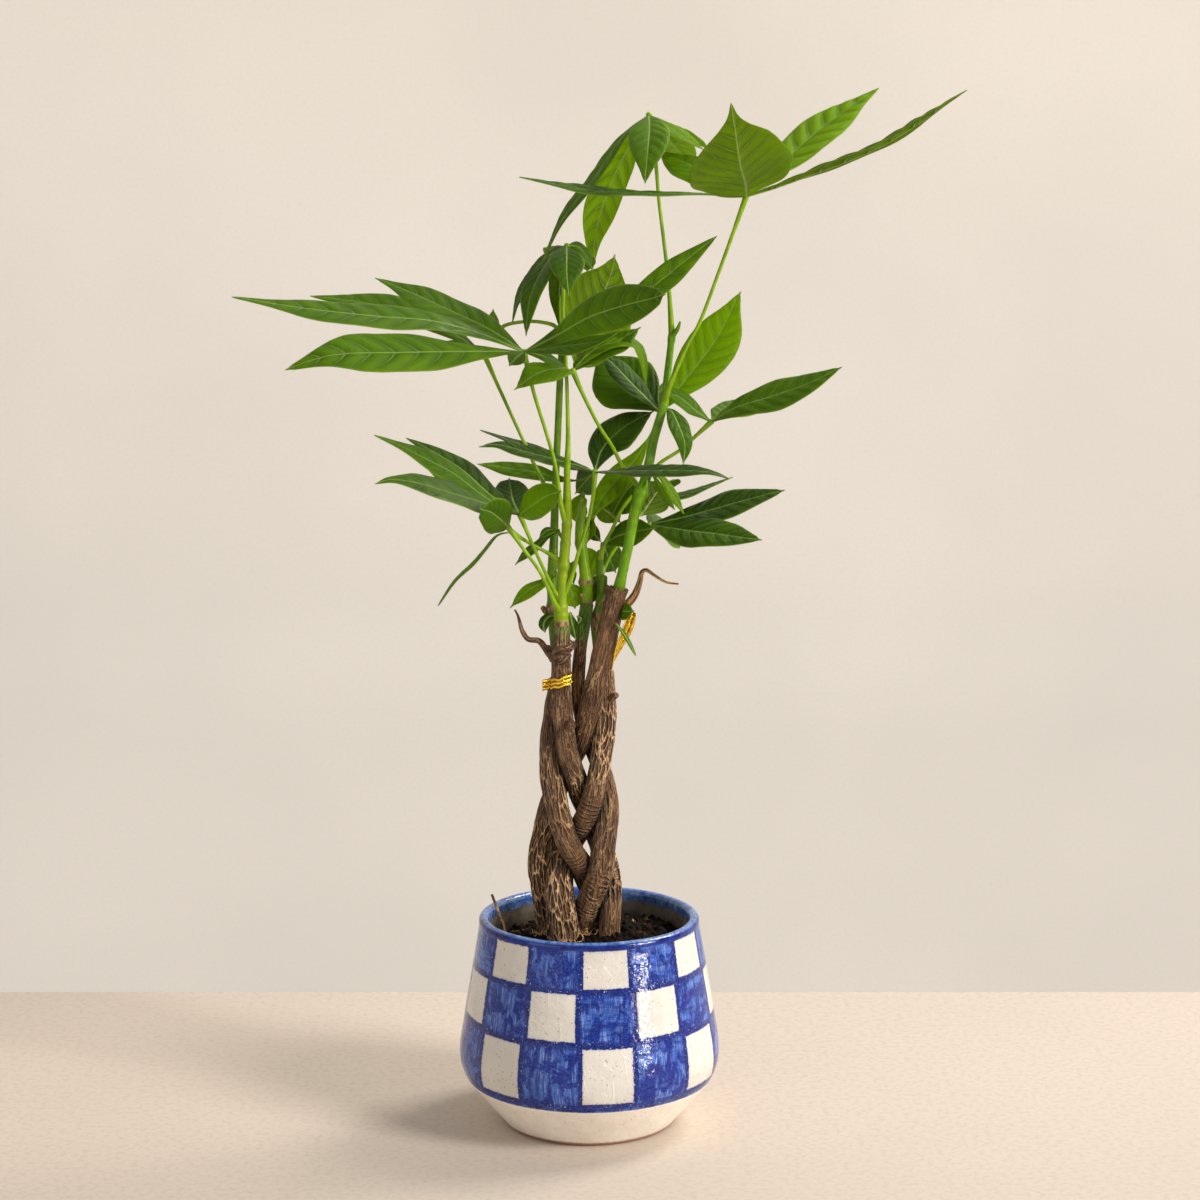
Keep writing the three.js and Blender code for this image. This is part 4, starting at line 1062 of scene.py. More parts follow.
STUBS = {
    "shoot_d": [dict(to=[(600, 600, 8), (603, 590, 3), (604, 578, 1)], radii=[2.4, 2.3, 2.0], woody=0.35)],
    "shoot_e": [dict(to=[(552, 611, 9), (546, 611, 6), (543, 608, 5)], radii=[2.6, 2.2, 1.5], woody=1.0)],
    "shoot_b": [dict(to=[(583, 597, 5), (581, 595, 2.6)], radii=[1.6, 0.9], woody=0.6)],
    "shoot_c": [dict(to=[(642, 491, -8), (646, 486, -9), (647, 481, -9)], radii=[1.6, 1.2, 0.5], woody=0.1),
                dict(to=[(672, 337, -1), (678, 328, -2), (680, 322, -2)], radii=[1.5, 1.3, 0.6], woody=0.0)],
}


def marked_shoot(name):
    shoot = SHOOTS[name]
    lower = SHOOT_ROOTS.get(name, [])
    radii = [shoot["radii"][0]] * len(lower) + shoot["radii"]
    seed = len(name) + ord(name[-1]) * 0.1
    line = limb(placed(lower + shoot["path"]), radii, 0.8, 0.7, seed=seed)
    height = line["centre"][:, 2]
    line["woody"] = np.zeros(len(height))
    for row, share, length, woody in SHOOT_MARKS[name]:
        bell = np.exp(-((height - height_of(row)) / length) ** 2)
        line["girth"] = line["girth"] * (1 + share * bell)
        line["woody"] = np.maximum(line["woody"], woody * bell)
    line["rings"] = line["woody"] * 0.5
    line["cracks"] = line["woody"] * 0.4
    return line


for name in SHOOTS:
    lines = [marked_shoot(name)]
    for stub in STUBS.get(name, []):
        lines.append(limb(placed(stub["to"]), stub["radii"], 0.5, 0.8, woody=stub["woody"], seed=0.3))
    piece = grown("fine_" + name, skeleton(name + "_lines", lines), limb_tree, stem_finishes[name], Around=30,
                  Roughness=0.5)
    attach(piece, "root")
    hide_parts(name)
    print(piece.name, len(piece.data.polygons), "faces")

# %% [markdown]
# A thin dead twig stands in the soil at the left, the rest of a shoot that never grew on. It is one
# short limb with dry bark, made just like the trunks.

# %% Soil twig
SOIL_TWIG = dict(path=[(511, 962, -13), (503, 925, -10), (497, 908, -8), (492, 895, -6)],
                 radii=[1.1, 1.0, 0.7])
twig_line = limb(placed(SOIL_TWIG["path"]), SOIL_TWIG["radii"], 0.5, 0.8, cracks=1.0, seed=1.7)
twig_piece = grown("fine_soil_twig", skeleton("twig_line", [twig_line]), limb_tree, bark, Around=16)
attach(twig_piece, "root")
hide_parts("soil_twig")
print("twig faces:", len(twig_piece.data.polygons))

# %% [markdown]
# A leaflet is a thin blade with a pale midrib and side veins that leave it at a slant and curve
# forward. Between two side veins the blade bulges up a little, like quilting. Every leaflet here is
# one line through the middle of its blade; the blade tree sweeps a flat ring of points along it and
# gives each point its place: how far across, how far up the fold, how much the quilting lifts it.
# The point also keeps which vein it is nearest to, so the material paints the veins on the bulges.

# %% Blades
BLADE = dict(fold=math.tan(math.radians(5)), thickness=0.5 * MM, skew=1.15, fullness=1.15, end_half=0.6,
             quilt=1.5 * MM, quilt_full_half=10 * MM, rib=0.95 * MM, rib_half=1.3 * MM, sinus=0.012,
             station=2.2, slant=0.7, forward=0.5, tip_half=0.12, near_tip_half=0.7, veins=9.5,
             vein_pitch=(4.5, 14.0))


def draw_blade(bench, given):
    skin = sweep(bench, given, "Around")
    names = ("turn", "half", "course", "ribs", "seed", "place")
    turn, half, course, ribs, seed, place = [field(bench, name) for name in names]
    cosine = turn.math("COSINE", turn)
    spread = abs(cosine)
    side = cosine.math("SIGN", cosine)
    edge = spread ** 1.5
    face = (turn.sine() * 3.2).most(-1.0).least(1.0)
    away = edge * half
    vein = course - away * ribs * (BLADE["forward"] * edge + BLADE["slant"])
    between = abs((vein * math.pi).sine()) ** 0.8
    window = edge.step(0, 0.22) * (1 - edge.step(0.72, 1))
    size = (half / BLADE["quilt_full_half"]).clamped()
    quilt = between * window * size * field(bench, "quilting") * BLADE["quilt"]
    scallop = (between * BLADE["sinus"] - BLADE["sinus"] / 2 + 1) * side * away
    wave = (course * 1.9 + seed + side * 1.3).sine() * half * edge * edge * given["Waviness"]
    slow = (course * 0.83 + seed * 2 + side * 0.7).sine() * half * edge * given["Waviness"] * 0.8
    cup = given["Fold"] * half * (edge ** 1.15)
    sag = half * edge * edge * edge * given["Droop"]
    rib = (1 - (away / BLADE["rib_half"]).clamped() ** 2.0) * (1 - place * 0.7) * BLADE["rib"]
    rib = rib * (half / (4 * MM)).clamped() * (face.math("LESS_THAN", face, 0.0))
    lift = quilt + wave + slow + cup - sag - rib + face * (BLADE["thickness"] / 2)
    across = field(bench, "across", "FLOAT_VECTOR")
    up = field(bench, "up", "FLOAT_VECTOR")
    moved = (scaled(bench, across, scallop), scaled(bench, up, lift))
    spot = added(bench, field(bench, "centre", "FLOAT_VECTOR"), *moved)
    for name, value in (("vein", vein), ("away", away / MM), ("edge", edge), ("face", face)):
        skin = kept(bench, skin, name, value)
    return bench.make("GeometryNodeSetPosition", {}, {"Geometry": skin, "Position": spot})


blade_inputs = {"Around": ("Int", 44), "Fold": ("Float", BLADE["fold"]), "Waviness": ("Float", 0.04),
                "Droop": ("Float", 0.08)}
blade_tree = growth("blade", blade_inputs, draw_blade)


def blade_line(hub, leaflet, seed):
    """The skeleton line of one leaflet, with the frame that the CAD gives its blade."""
    midrib = smooth_line([hub, *placed(leaflet["to"])])
    length = arc(midrib)[-1]
    count = max(14, int(length / BLADE["station"]))
    midrib = spaced(midrib, count)
    place = np.linspace(0, 1, count)
    chord = unit(midrib[-1] - midrib[0])
    toward_eye = unit(np.array([0.0, -1.0, 0.0]) + chord * chord[1])
    sideways = np.cross(chord, toward_eye)
    sideways = sideways if sideways[2] >= 0 else -sideways
    turn = math.radians(leaflet["face"])
    normal = toward_eye * math.cos(turn) + sideways * math.sin(turn)
    tangents = unit(np.gradient(midrib, axis=0))
    up = unit(normal - tangents * (tangents @ normal)[:, None])
    across = np.cross(tangents, up)
    stalk = leaflet.get("stalk", 0)
    opened = np.clip((place - stalk) / (1 - stalk), 0, 1)
    fullness = leaflet.get("fullness", BLADE["fullness"])
    breadth = np.sin(np.pi * opened ** leaflet.get("skew", BLADE["skew"])) ** fullness
    late = np.clip((opened - 0.72) / 0.25, 0, 1)
    breadth *= 1 - leaflet.get("point", 0.3) * late * late * (3 - 2 * late)
    half = BLADE["end_half"] + 0.5 * leaflet["width"] * breadth
    half[-1] = BLADE["tip_half"]
    half[-2] = min(half[-2], BLADE["near_tip_half"])
    pitch = float(np.clip(length / BLADE["veins"], *BLADE["vein_pitch"]))
    ones = np.ones(count)
    return dict(centre=midrib, up=up, across=across, half=half * MM, place=place, course=arc(midrib) / pitch,
                ribs=ones / (pitch * MM), seed=ones * seed, tone=ones * leaflet["tone"],
                sheen=ones * leaflet.get("sheen", 0.05), quilting=ones * leaflet.get("quilting", 0.55))


print("blade tree:", len(blade_tree.nodes), "nodes")

# %% [markdown]
# Leaf green is never one green. Each leaflet has a tone from deep to fresh, slow noise clouds it, the midrib
# and the side veins are light lines, and a fine network of cells lies between them. Beside the side veins the
# green is darker as painted shade, the bulges between them are lighter as painted light, and a thin pale line
# at the margin is a painted rim highlight. The underside is paler and duller. A share of the light goes
# through the blade, which makes leaves with the lamp behind them glow yellow-green.

# %% Leaf material
LEAF = dict(midrib=0.55, side_vein=0.045, network=520.0, through=0.2)


def draw_leaf(bench):
    place = own_place(bench)
    names = ("vein", "away", "edge", "face", "tone", "place")
    vein, away, edge, face, tone, along = [carried(bench, name) for name in names]
    clouds = place.noise(38, 3, 0.55)
    mottle = place.noise(420, 3, 0.6)
    network = place.cells(LEAF["network"])
    fine = place.cells(LEAF["network"] * 2.6)
    near = vein.off_line()
    width = (1.15 - edge * 0.75) * LEAF["side_vein"]
    inner = 1 - edge.step(0.84, 0.98)
    side_vein = (1 - (near / width).step(0.35, 1.3)) * inner * away.step(0.2, 0.8)
    vein_shade_painted = (1 - (near / width).step(0.8, 6.5)) * inner
    midrib = 1 - (away / (1.3 - along * 0.8) / LEAF["midrib"]).step(0.5, 1.3)
    mesh_line = 1 - network.step(0, 0.07)
    fine_line = 1 - fine.step(0, 0.08)
    ripe = (tone + (clouds - 0.5) * 0.7 + (mottle - 0.5) * 0.2).clamped()
    deep = bench.blend(ripe.step(0, 0.5), screen(12, 48, 8), screen(68, 106, 2))
    green = deep.coat(ripe.step(0.45, 1), 140, 180, 10)
    # Lighter green between the veins is painted light on the bulges.
    green = green.coat(near.step(0.12, 0.5) * inner * 0.16, 120, 156, 24)
    green = green.coat(edge.step(0.82, 1) * 0.3, 128, 150, 24)
    # The thin pale line at the very margin is a painted rim highlight.
    green = green.coat(edge.step(0.93, 1) * 0.5, 158, 178, 76)
    green = green.coat(mesh_line * 0.14 + fine_line * 0.06, 120, 156, 60)
    quilting = carried(bench, "quilting")
    # Darker green beside the side veins is painted shade in the creases.
    green = green.coat(vein_shade_painted * quilting * 0.6, 22, 50, 4)
    green = green.coat(side_vein * (quilting * 0.4 + 0.25), 142, 180, 92)
    green = green.coat(midrib * 0.85, 160, 188, 100)
    below = bench.blend(ripe, screen(56, 84, 12), screen(156, 192, 26))
    below = below.coat(mesh_line * 0.34, 132, 152, 72)
    # On the underside the same painted shade lies beside the ribs.
    below = below.coat(vein_shade_painted * 0.8, 34, 58, 6)
    below = below.coat(side_vein * 0.9, 166, 186, 106)
    below = below.coat(midrib * 0.95, 186, 196, 124)
    upper = face.step(-0.1, 0.1)
    colour = bench.blend(upper, below, green)
    rough = 0.52 - upper * 0.17 + (mottle - 0.5) * 0.18
    sunk = side_vein.most(midrib) * (1 - upper * 2)
    swell = near.step(0, 0.5) * (upper * 2.4 - 1.4) * inner * quilting
    height = (sunk * 0.5 + swell * 0.9 + network.step(0, 0.2) * 0.3 + fine.step(0, 0.3) * 0.12
              + mottle * 0.15)
    sheen = carried(bench, "sheen") * upper * 0.6
    return {"Base Color": colour, "Roughness": rough, "Coat Weight": sheen, "height": height, "strength": 0.6,
            "depth": 0.0011, "through": (ripe * 0.46 + LEAF["through"], screen(176, 206, 4))}


leaf_finish = material("leaf_veined", draw_leaf, **{"Specular IOR Level": 0.1, "Coat Roughness": 0.28})
print("leaf material:", leaf_finish.name)

# %% [markdown]
# A leaf is a long green stalk with its leaflets spread from one hub, like fingers from a palm. Stalk and
# leaflets are lines of places: two picture coordinates and a depth. A leaflet then has its width in
# millimetres, the way its face looks in degrees (0 at the eye, 90 up, 180 away) and its tone from deep
# to fresh. Skew moves its widest place outward, fullness and point shape its ends, sheen is a wet
# gloss, and quilting is how far it bulges between its veins. They are read off the picture one by one,
# because each leaf of a real plant hangs its own way.

# %% Leaves
def leaflet(to, width, face, tone, **more):
    return dict(to=to, width=width, face=face, tone=tone, **more)


def leaf(stalk, *leaflets):
    return dict(stalk=stalk, leaflets=leaflets)


LEAVES = dict(
    leaf_crown_right=leaf(
        [(664, 404, -4), (669, 388, -8), (687, 346, -10), (699, 324, -10), (720, 269, -9), (746, 197, -8)],
        leaflet([(700, 194, -15), (650, 194, -22), (580, 189, -26), (519, 177, -28)], 20, 80, 0.25,
                 skew=1.7),
        leaflet([(745, 183, -38), (740, 164, -66), (735, 131, -92), (731, 103, -110)], 54, 178, 0.5,
                 skew=0.86, point=0.7, quilting=1.1),
        leaflet([(782, 163, 16), (825, 126, 42), (879, 88, 66)], 28, 52, 0.85, quilting=1.0),
        leaflet([(800, 178, -10), (880, 146, -12), (967, 90, -14)], 24, 102, 0.3, fullness=0.9,
                 quilting=0.9),
        leaflet([(719, 184, 14), (694, 167, 36), (657, 151, 62)], 32, 55, 0.6),
        leaflet([(752, 168, 50), (756, 140, 98)], 30, 60, 0.5),
    ),
    leaf_crown_top=leaf(
        [(672, 337, 0), (669, 290, 3), (666, 259, 5), (659, 200, 9), (655, 154, 11), (649, 115, 12)],
        leaflet([(623, 137, 8), (594, 178, 2), (563, 219, -4), (542, 262, -8)], 17, 72, 0.4, skew=0.9),
        leaflet([(628, 146, 30), (605, 196, 46), (594, 238, 52), (592, 272, 54)], 26, 136, 1.0,
                 quilting=0.7),
        leaflet([(650, 126, -16), (648, 150, -40), (645, 184, -55)], 21, 8, 0.5),
        leaflet([(672, 129, 4), (704, 150, -2)], 18, 70, 0.8),
        leaflet([(668, 137, 52), (683, 155, 84), (696, 170, 104)], 22, 130, 0.6),
        leaflet([(679, 131, 36), (710, 150, 62)], 15, 105, 0.7),
    ),
    leaf_left_wide=leaf(
        [(566, 524, -4), (561, 505, -9), (556, 469, -14), (550, 445, -15), (533, 390, -16),
         (524, 352, -16)],
        leaflet([(480, 334, -24), (430, 321, -36), (380, 317, -46), (300, 308, -56), (232, 297, -62)], 22,
                 62, 0.45, sheen=0.5),
        leaflet([(470, 352, -42), (400, 353, -66), (330, 356, -84), (285, 370, -92)], 32, 54, 0.5,
                 quilting=0.75, skew=1.4, fullness=1.0),
        leaflet([(490, 330, 0), (440, 306, 12), (400, 288, 18), (375, 278, 22)], 29, 62, 0.45),
        leaflet([(556, 336, -42), (590, 317, -70), (626, 305, -94), (650, 299, -108), (666, 294, -114)],
                 21, 20, 0.3, skew=1.9, fullness=0.7, point=0.0),
        leaflet([(580, 325, -22), (640, 296, -22), (682, 264, -19), (717, 236, -17)], 15, 35, 0.5,
                 skew=2.1, sheen=0.4),
        leaflet([(560, 347, -28), (598, 341, -40), (622, 330, -44)], 22, 74, 0.45),
        leaflet([(516, 358, -34), (509, 366, -46)], 9, 20, 0.4),
        leaflet([(545, 357, -7), (567, 367, 2)], 16, 72, 0.5),
    ),
    leaf_middle=leaf(
        [(641, 491, -6), (634, 480, 0), (623, 467, 3), (612, 446, -2), (599, 426, -8), (581, 390, -12),
         (573, 371, -12)],
        leaflet([(582, 352, 3), (590, 330, 9), (600, 300, 15), (610, 275, 19), (615, 254, 22)], 46, 155,
                 0.7, stalk=0.06, skew=1.0, quilting=0.8),
        leaflet([(605, 350, -2), (641, 327, 8)], 22, 60, 0.5),
        leaflet([(561, 369, -30), (540, 373, -39), (514, 390, -45)], 22, 62, 0.7, stalk=0.12),
        leaflet([(586, 361, -3), (597, 351, 5)], 14, 60, 0.5),
        leaflet([(595, 350, -5), (615, 343, -2), (634, 344, 0), (642, 356, 0), (646, 386, 0)], 16, 78,
                 0.75),
    ),
    leaf_behind=leaf(
        [(583, 545, 6), (592, 520, 14), (604, 494, 20), (632, 464, 22), (655, 430, 16), (660, 412, 12)],
        leaflet([(640, 395, 26), (615, 374, 40), (596, 353, 50)], 36, 22, 0.3),
        leaflet([(646, 398, 15), (630, 382, 19), (614, 365, 23), (597, 351, 27)], 17, 52, 0.15),
        leaflet([(636, 386, 42), (618, 366, 60), (602, 352, 70)], 24, 30, 0.2),
        leaflet([(693, 371, 20), (718, 337, 28), (741, 291, 34)], 28, 22, 0.95),
        leaflet([(664, 409, 6), (671, 411, -3), (679, 426, -15), (685, 445, -18), (683, 465, -19)], 11, 30,
                 0.35, stalk=0.15),
        leaflet([(674, 392, 52), (692, 366, 98)], 28, 62, 0.5, quilting=1.1),
        leaflet([(651, 434, 12), (637, 458, 12), (617, 480, 8), (600, 502, 3), (590, 520, -1)], 14, 24,
                 0.85, stalk=0.2),
    ),
    leaf_heart=leaf(
        [(565, 592, -3), (572, 576, -5), (578, 554, -6), (587, 525, -4), (591, 509, -3), (594, 488, 0),
         (595, 472, 2)],
        leaflet([(578, 466, 4), (556, 460, 4.5), (525, 452, 2), (497, 445, 0), (479, 447, -2)], 18, 72,
                 0.1),
        leaflet([(576, 468, 28), (540, 452, 43), (505, 439, 47), (480, 430, 49)], 12, 72, 0.05, sheen=0.5),
        leaflet([(613, 472, -12), (650, 471, -26), (690, 471, -40), (712, 473, -47), (730, 479, -51)], 18,
                 76, 0.05, sheen=0.8),
        leaflet([(585, 482, 24), (575, 494, 34)], 16, 30, 0.2),
        leaflet([(604, 447, 16), (625, 427, 22), (654, 411, 28)], 24, 40, 0.1, quilting=0.8),
        leaflet([(580, 480, 22), (564, 480, 28), (538, 473, 30), (505, 468, 30), (477, 464, 30)], 14, 58,
                 0.5, stalk=0.32),
    ),
    leaf_right=leaf(
        [(642, 490, -6), (650, 476, 2), (659, 464, 2), (680, 450, 0), (699, 433, 0), (711, 422, 0)],
        leaflet([(736, 408, -12), (771, 397, -19), (808, 384, -24), (842, 367, -26)], 24, 60, 0.35,
                 fullness=0.95, sheen=0.4, quilting=0.8),
        leaflet([(696, 411, 4), (680, 398, 5), (658, 388, 5)], 14, 58, 0.6),
        leaflet([(735, 410, 34), (765, 398, 76)], 28, 74, 0.5),
    ),
    leaf_low_left=leaf(
        [(562, 601, -3), (556, 594, -5), (546, 574, -9), (531, 541, -13), (520, 515, -15)],
        leaflet([(487, 499, -26), (452, 473, -38), (425, 459, -46), (400, 446, -52), (374, 435, -56)], 20,
                 70, 0.45, skew=1.0),
        leaflet([(490, 495, 0), (462, 470, 8), (435, 453, 14), (406, 438, 18)], 20, 62, 0.2),
        leaflet([(476, 501, -44), (443, 491, -66), (415, 483, -78), (390, 480, -86), (375, 484, -90)], 26,
                 72, 0.25, sheen=0.6),
        leaflet([(480, 498, -8), (440, 473, -4), (412, 455, -2)], 16, 66, 0.45),
        leaflet([(533, 505, -36), (549, 495, -52), (562, 491, -60)], 16, 18, 0.5, fullness=0.6, point=0.0),
        leaflet([(513, 500, 8), (509, 478, 34)], 20, 24, 0.1, fullness=0.6, point=0.0),
    ),
    leaf_low_left_lower=leaf(
        [(561, 614, -3), (555, 603, -9), (540, 572, -17), (525, 551, -20), (508, 527, -21)],
        leaflet([(499, 518, -46), (489, 511, -62), (480, 509, -72)], 19, 18, 0.5, fullness=0.6, point=0.0),
        leaflet([(499, 521, -6), (489, 516, 22)], 14, 74, 0.4),
    ),
    leaf_thin_left=leaf(
        [(563, 563, -3), (546, 552, -2), (533, 545, -5), (521, 538, -12), (512, 532, -14)],
        leaflet([(498, 535, -18), (485, 550, -26), (473, 564, -31), (455, 581, -36), (438, 606, -40)], 3.6,
                 70, 0.4),
    ),
    leaf_right_pale=leaf(
        [(600, 558, 8), (603, 547, 6), (611, 532, 5), (622, 509, 6), (633, 495, 8)],
        leaflet([(650, 490, 28), (664, 496, 54)], 32, 130, 0.1),
        leaflet([(645, 506, 18), (679, 497, 32), (733, 477, 45)], 14, 88, 0.15),
    ),
    leaf_right_low=leaf(
        [(600, 578, 9), (605, 566, 13), (612, 553, 15), (623, 539, 16), (637, 530, 17), (649, 525, 17)],
        leaflet([(683, 518, 8), (715, 509, 0), (740, 502, -5), (766, 495, -9), (785, 490, -11)], 23, 60,
                 0.05, sheen=0.8, skew=1.12, quilting=0.8, fullness=1.0, point=0.15),
        leaflet([(689, 531, -10), (716, 534, -24), (744, 538, -34), (762, 540, -40)], 25, 58, 0.2,
                 sheen=0.3, skew=1.15, quilting=0.8, fullness=1.0, point=0.15),
        leaflet([(660, 530, 50), (680, 532, 90)], 26, 75, 0.35),
    ),
    leaf_right_inner=leaf(
        [(600, 566, 9), (600, 556, 14), (603, 545, 15)],
        leaflet([(608, 556, 20), (616, 573, 22)], 17, 30, 0.3, fullness=0.8),
        leaflet([(616, 537, 8), (634, 532, 3), (656, 528, -5)], 15, 28, 0.3),
    ),
    leaf_umbrella=leaf(
        [(567, 473, -7), (568, 440, -8), (567, 390, -9), (565, 345, -11), (563, 300, -9), (567, 246, -6)],
        leaflet([(557, 250, -2), (539, 265, 6), (527, 282, 10), (518, 300, 12), (512, 324, 13)], 13, 68,
                 0.25),
        leaflet([(553, 256, -18), (539, 277, -32), (530, 300, -40), (526, 336, -44)], 20, 58, 0.3),
        leaflet([(567, 256, -28), (567, 275, -46), (569, 296, -54)], 18, 8, 0.2),
        leaflet([(563, 262, 16), (559, 290, 26), (560, 330, 30)], 13, 150, 0.25),
        leaflet([(577, 247, -4), (586, 256, 0), (592, 270, 2)], 14, 66, 0.5),
        leaflet([(579, 256, 16), (588, 272, 32)], 18, 130, 0.5),
        leaflet([(567, 252, 40), (566, 262, 82)], 26, 178, 0.4),
    ),
    leaf_left_back=leaf(
        [(555, 503, 13), (542, 480, 21), (525, 444, 24), (500, 390, 26), (484, 354, 26)],
        leaflet([(430, 320, 40), (370, 304, 50), (310, 296, 54)], 28, 64, 0.5),
        leaflet([(450, 352, 48), (400, 352, 76)], 26, 66, 0.5),
    ),
    leaf_left_curved=leaf(
        [(562, 343, 16), (556, 327, 18), (540, 322, 20), (521, 322, 24), (504, 326, 28), (494, 336, 32)],
        leaflet([(494, 322, 38), (493, 309, 42)], 9, 60, 0.6),
        leaflet([(470, 330, 62), (445, 322, 90)], 24, 70, 0.5),
    ),
    leaf_short_left=leaf(
        [(565, 543, -3), (561, 536, -1), (558, 532, 1)],
        leaflet([(548, 536, 2), (538, 545, 3), (527, 553, 3), (515, 565, 3)], 9, 62, 0.4),
        leaflet([(550, 530, -3), (539, 538, -6)], 6, 62, 0.35),
    ),
    leaf_lowest=leaf(
        [(563, 575, -3), (559, 574, 0), (556, 574, 2)],
        leaflet([(545, 582, 3), (530, 590, 2), (518, 600, 1), (510, 608, 0)], 9, 50, 0.75),
    ),
    leaf_young=leaf(
        [(645, 472, -5), (650, 472, -8), (653, 474, -9)],
        leaflet([(663, 493, -10), (675, 510, -11)], 5, 35, 0.8),
        leaflet([(662, 478, -12), (673, 495, -14), (684, 514, -15)], 5, 35, 0.85),
    ),
)
PETIOLE = dict(radii=[1.9, 1.25, 1.05, 1.0, 1.0, 1.1, 1.7], hub_length=0.5, scar=0.35, scar_reach=5 * MM)
for order, (name, plan) in enumerate(LEAVES.items()):
    stalk = placed(plan["stalk"])
    hub = stalk[-1]
    end = hub + unit(hub - stalk[-2]) * PETIOLE["hub_length"]
    petiole = limb(np.vstack([stalk, end]), PETIOLE["radii"], 1.2, 0.7, seed=order * 0.31)
    petiole["woody"] = PETIOLE["scar"] * np.clip(1 - petiole["reach"] / PETIOLE["scar_reach"], 0, 1)
    blades = [blade_line(hub, each, order + 2 * i) for i, each in enumerate(plan["leaflets"])]
    start = skeleton(name + "_stem_line", [petiole])
    stem = grown(name + "_stem", start, limb_tree, petiole_finish, Around=14, Roughness=0.35)
    green = grown("fine_" + name, skeleton(name + "_lines", blades), blade_tree, leaf_finish)
    piece = joined([green, stem], "fine_" + name)
    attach(piece, "root")
    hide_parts(name)
    print(piece.name, len(blades), "leaflets", len(piece.data.polygons), "faces")

# %% [markdown]
# Between the shoots the living plant is crowded: young leaves, half hidden ones and thin scales. They
# are single blades, each given by its line, so the gaps between the stems fill up as on the plant.

# %% Sprigs
SPRIGS = [
    leaflet([(622, 612, -6), (628, 611.5, -12), (634.5, 611, -14.5)], 8.5, 30, 0.35, base=(614, 613, -3),
             fullness=0.7),
    leaflet([(618, 626, -12), (626, 637, -15.5), (636, 656, -17.5)], 1.5, 40, 0.6, base=(615, 622, -8.6)),
    leaflet([(549, 617, 0), (544, 624, -1), (545, 633, -2)], 6, 30, 0.15, base=(556, 616, 2)),
    leaflet([(572, 622, 0), (576, 640, -1)], 5.5, 20, 0.15, base=(570, 612, 0)),
    leaflet([(581, 619, 0), (578, 624, -1)], 3, 20, 0.1, base=(577, 616, 1)),
    leaflet([(573, 594, 5), (575, 609, 5)], 12, 20, 0.85, base=(568, 584, 4), fullness=0.8),
    leaflet([(606, 510, 18), (621, 523, 20)], 14, 160, 0.3, base=(594, 502, 14)),
    leaflet([(624, 494, 9), (611, 517, 10)], 20, 20, 0.3, base=(637, 480, 6)),
    leaflet([(650, 501, 11), (664, 481, 14)], 23, 155, 0.2, base=(640, 516, 8)),
    leaflet([(592, 531, 11), (601, 542, 12)], 7, 25, 0.05, base=(586, 517, 11)),
    leaflet([(578, 508, 17), (579, 526, 18)], 11, 25, 0.75, base=(584, 492, 15)),
    leaflet([(592, 590, 12), (590, 606, 12)], 9, 25, 0.2, base=(597, 575, 11)),
    leaflet([(570, 571, 9), (574, 584, 9)], 7, 25, 0.7, base=(575, 561, 8)),
    leaflet([(589, 562, 16), (585, 545, 17)], 12, 20, 0.95, base=(591, 580, 15), fullness=0.8),
    leaflet([(588, 530, 11), (594, 518, 12)], 9, 30, 0.9, base=(585, 545, 10)),
]
sprig_lines = [blade_line(at(sprig["base"]), sprig, 3 * i) for i, sprig in enumerate(SPRIGS)]
sprigs = grown("sprigs", skeleton("sprig_lines", sprig_lines), blade_tree, leaf_finish)
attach(sprigs, "root")
print("sprigs:", len(SPRIGS), "faces:", len(sprigs.data.polygons))

# %% [markdown]
# The pot is thrown stoneware: a flat bare foot, a straight flare, a soft belt and a tall wall that
# leans in to a rolled rim. It is turned here from the same driving sizes as the CAD's, with the belt
# as a smooth curve, with many more steps, and with the slight waviness that a thrown wall has.

# %% Pot shape
POT = dict(foot=(48.3, 0.0), shoulder=(70.0, 26.6), belly=(74.3, 45.0), belt_top=58.0, belt_slope=0.6,
           neck=(62.6, 114.0), ring=(59.5, 117.0), tube=3.0, wall=6.0, floor=8.0, lip_depth=4.0, haunch=4.0,
           sectors=256, wobble=0.22)


def turned(name, profile, sectors, wobble, finish):
    """A closed turned piece from (radius, height) points in mm that start and end on the axis."""
    solid = bmesh.new()
    rings = []
    for radius, height in profile:
        if radius < 0.001:
            rings.append([solid.verts.new((0, 0, height * MM))])
            continue
        ring = []
        for k in range(sectors):
            angle = 2 * math.pi * k / sectors
            r = (radius + wobble * math.sin(3 * angle + height * 0.03)
                 + wobble * 0.5 * math.sin(7 * angle - height * 0.05))
            ring.append(solid.verts.new((r * MM * math.cos(angle), r * MM * math.sin(angle), height * MM)))
        rings.append(ring)
    for low, high in zip(rings, rings[1:]):
        for k in range(sectors):
            after = k + 1
            corners = [low[k % len(low)], low[after % len(low)], high[after % len(high)], high[k % len(high)]]
            corners = list(dict.fromkeys(corners))
            solid.faces.new(corners)
    bmesh.ops.recalc_face_normals(solid, faces=solid.faces)
    return as_piece(solid, name, finish, smooth=True)


def between(first, last, count):
    first, last = np.array(first), np.array(last)
    return [tuple(first + (last - first) * t) for t in np.linspace(0, 1, count)]


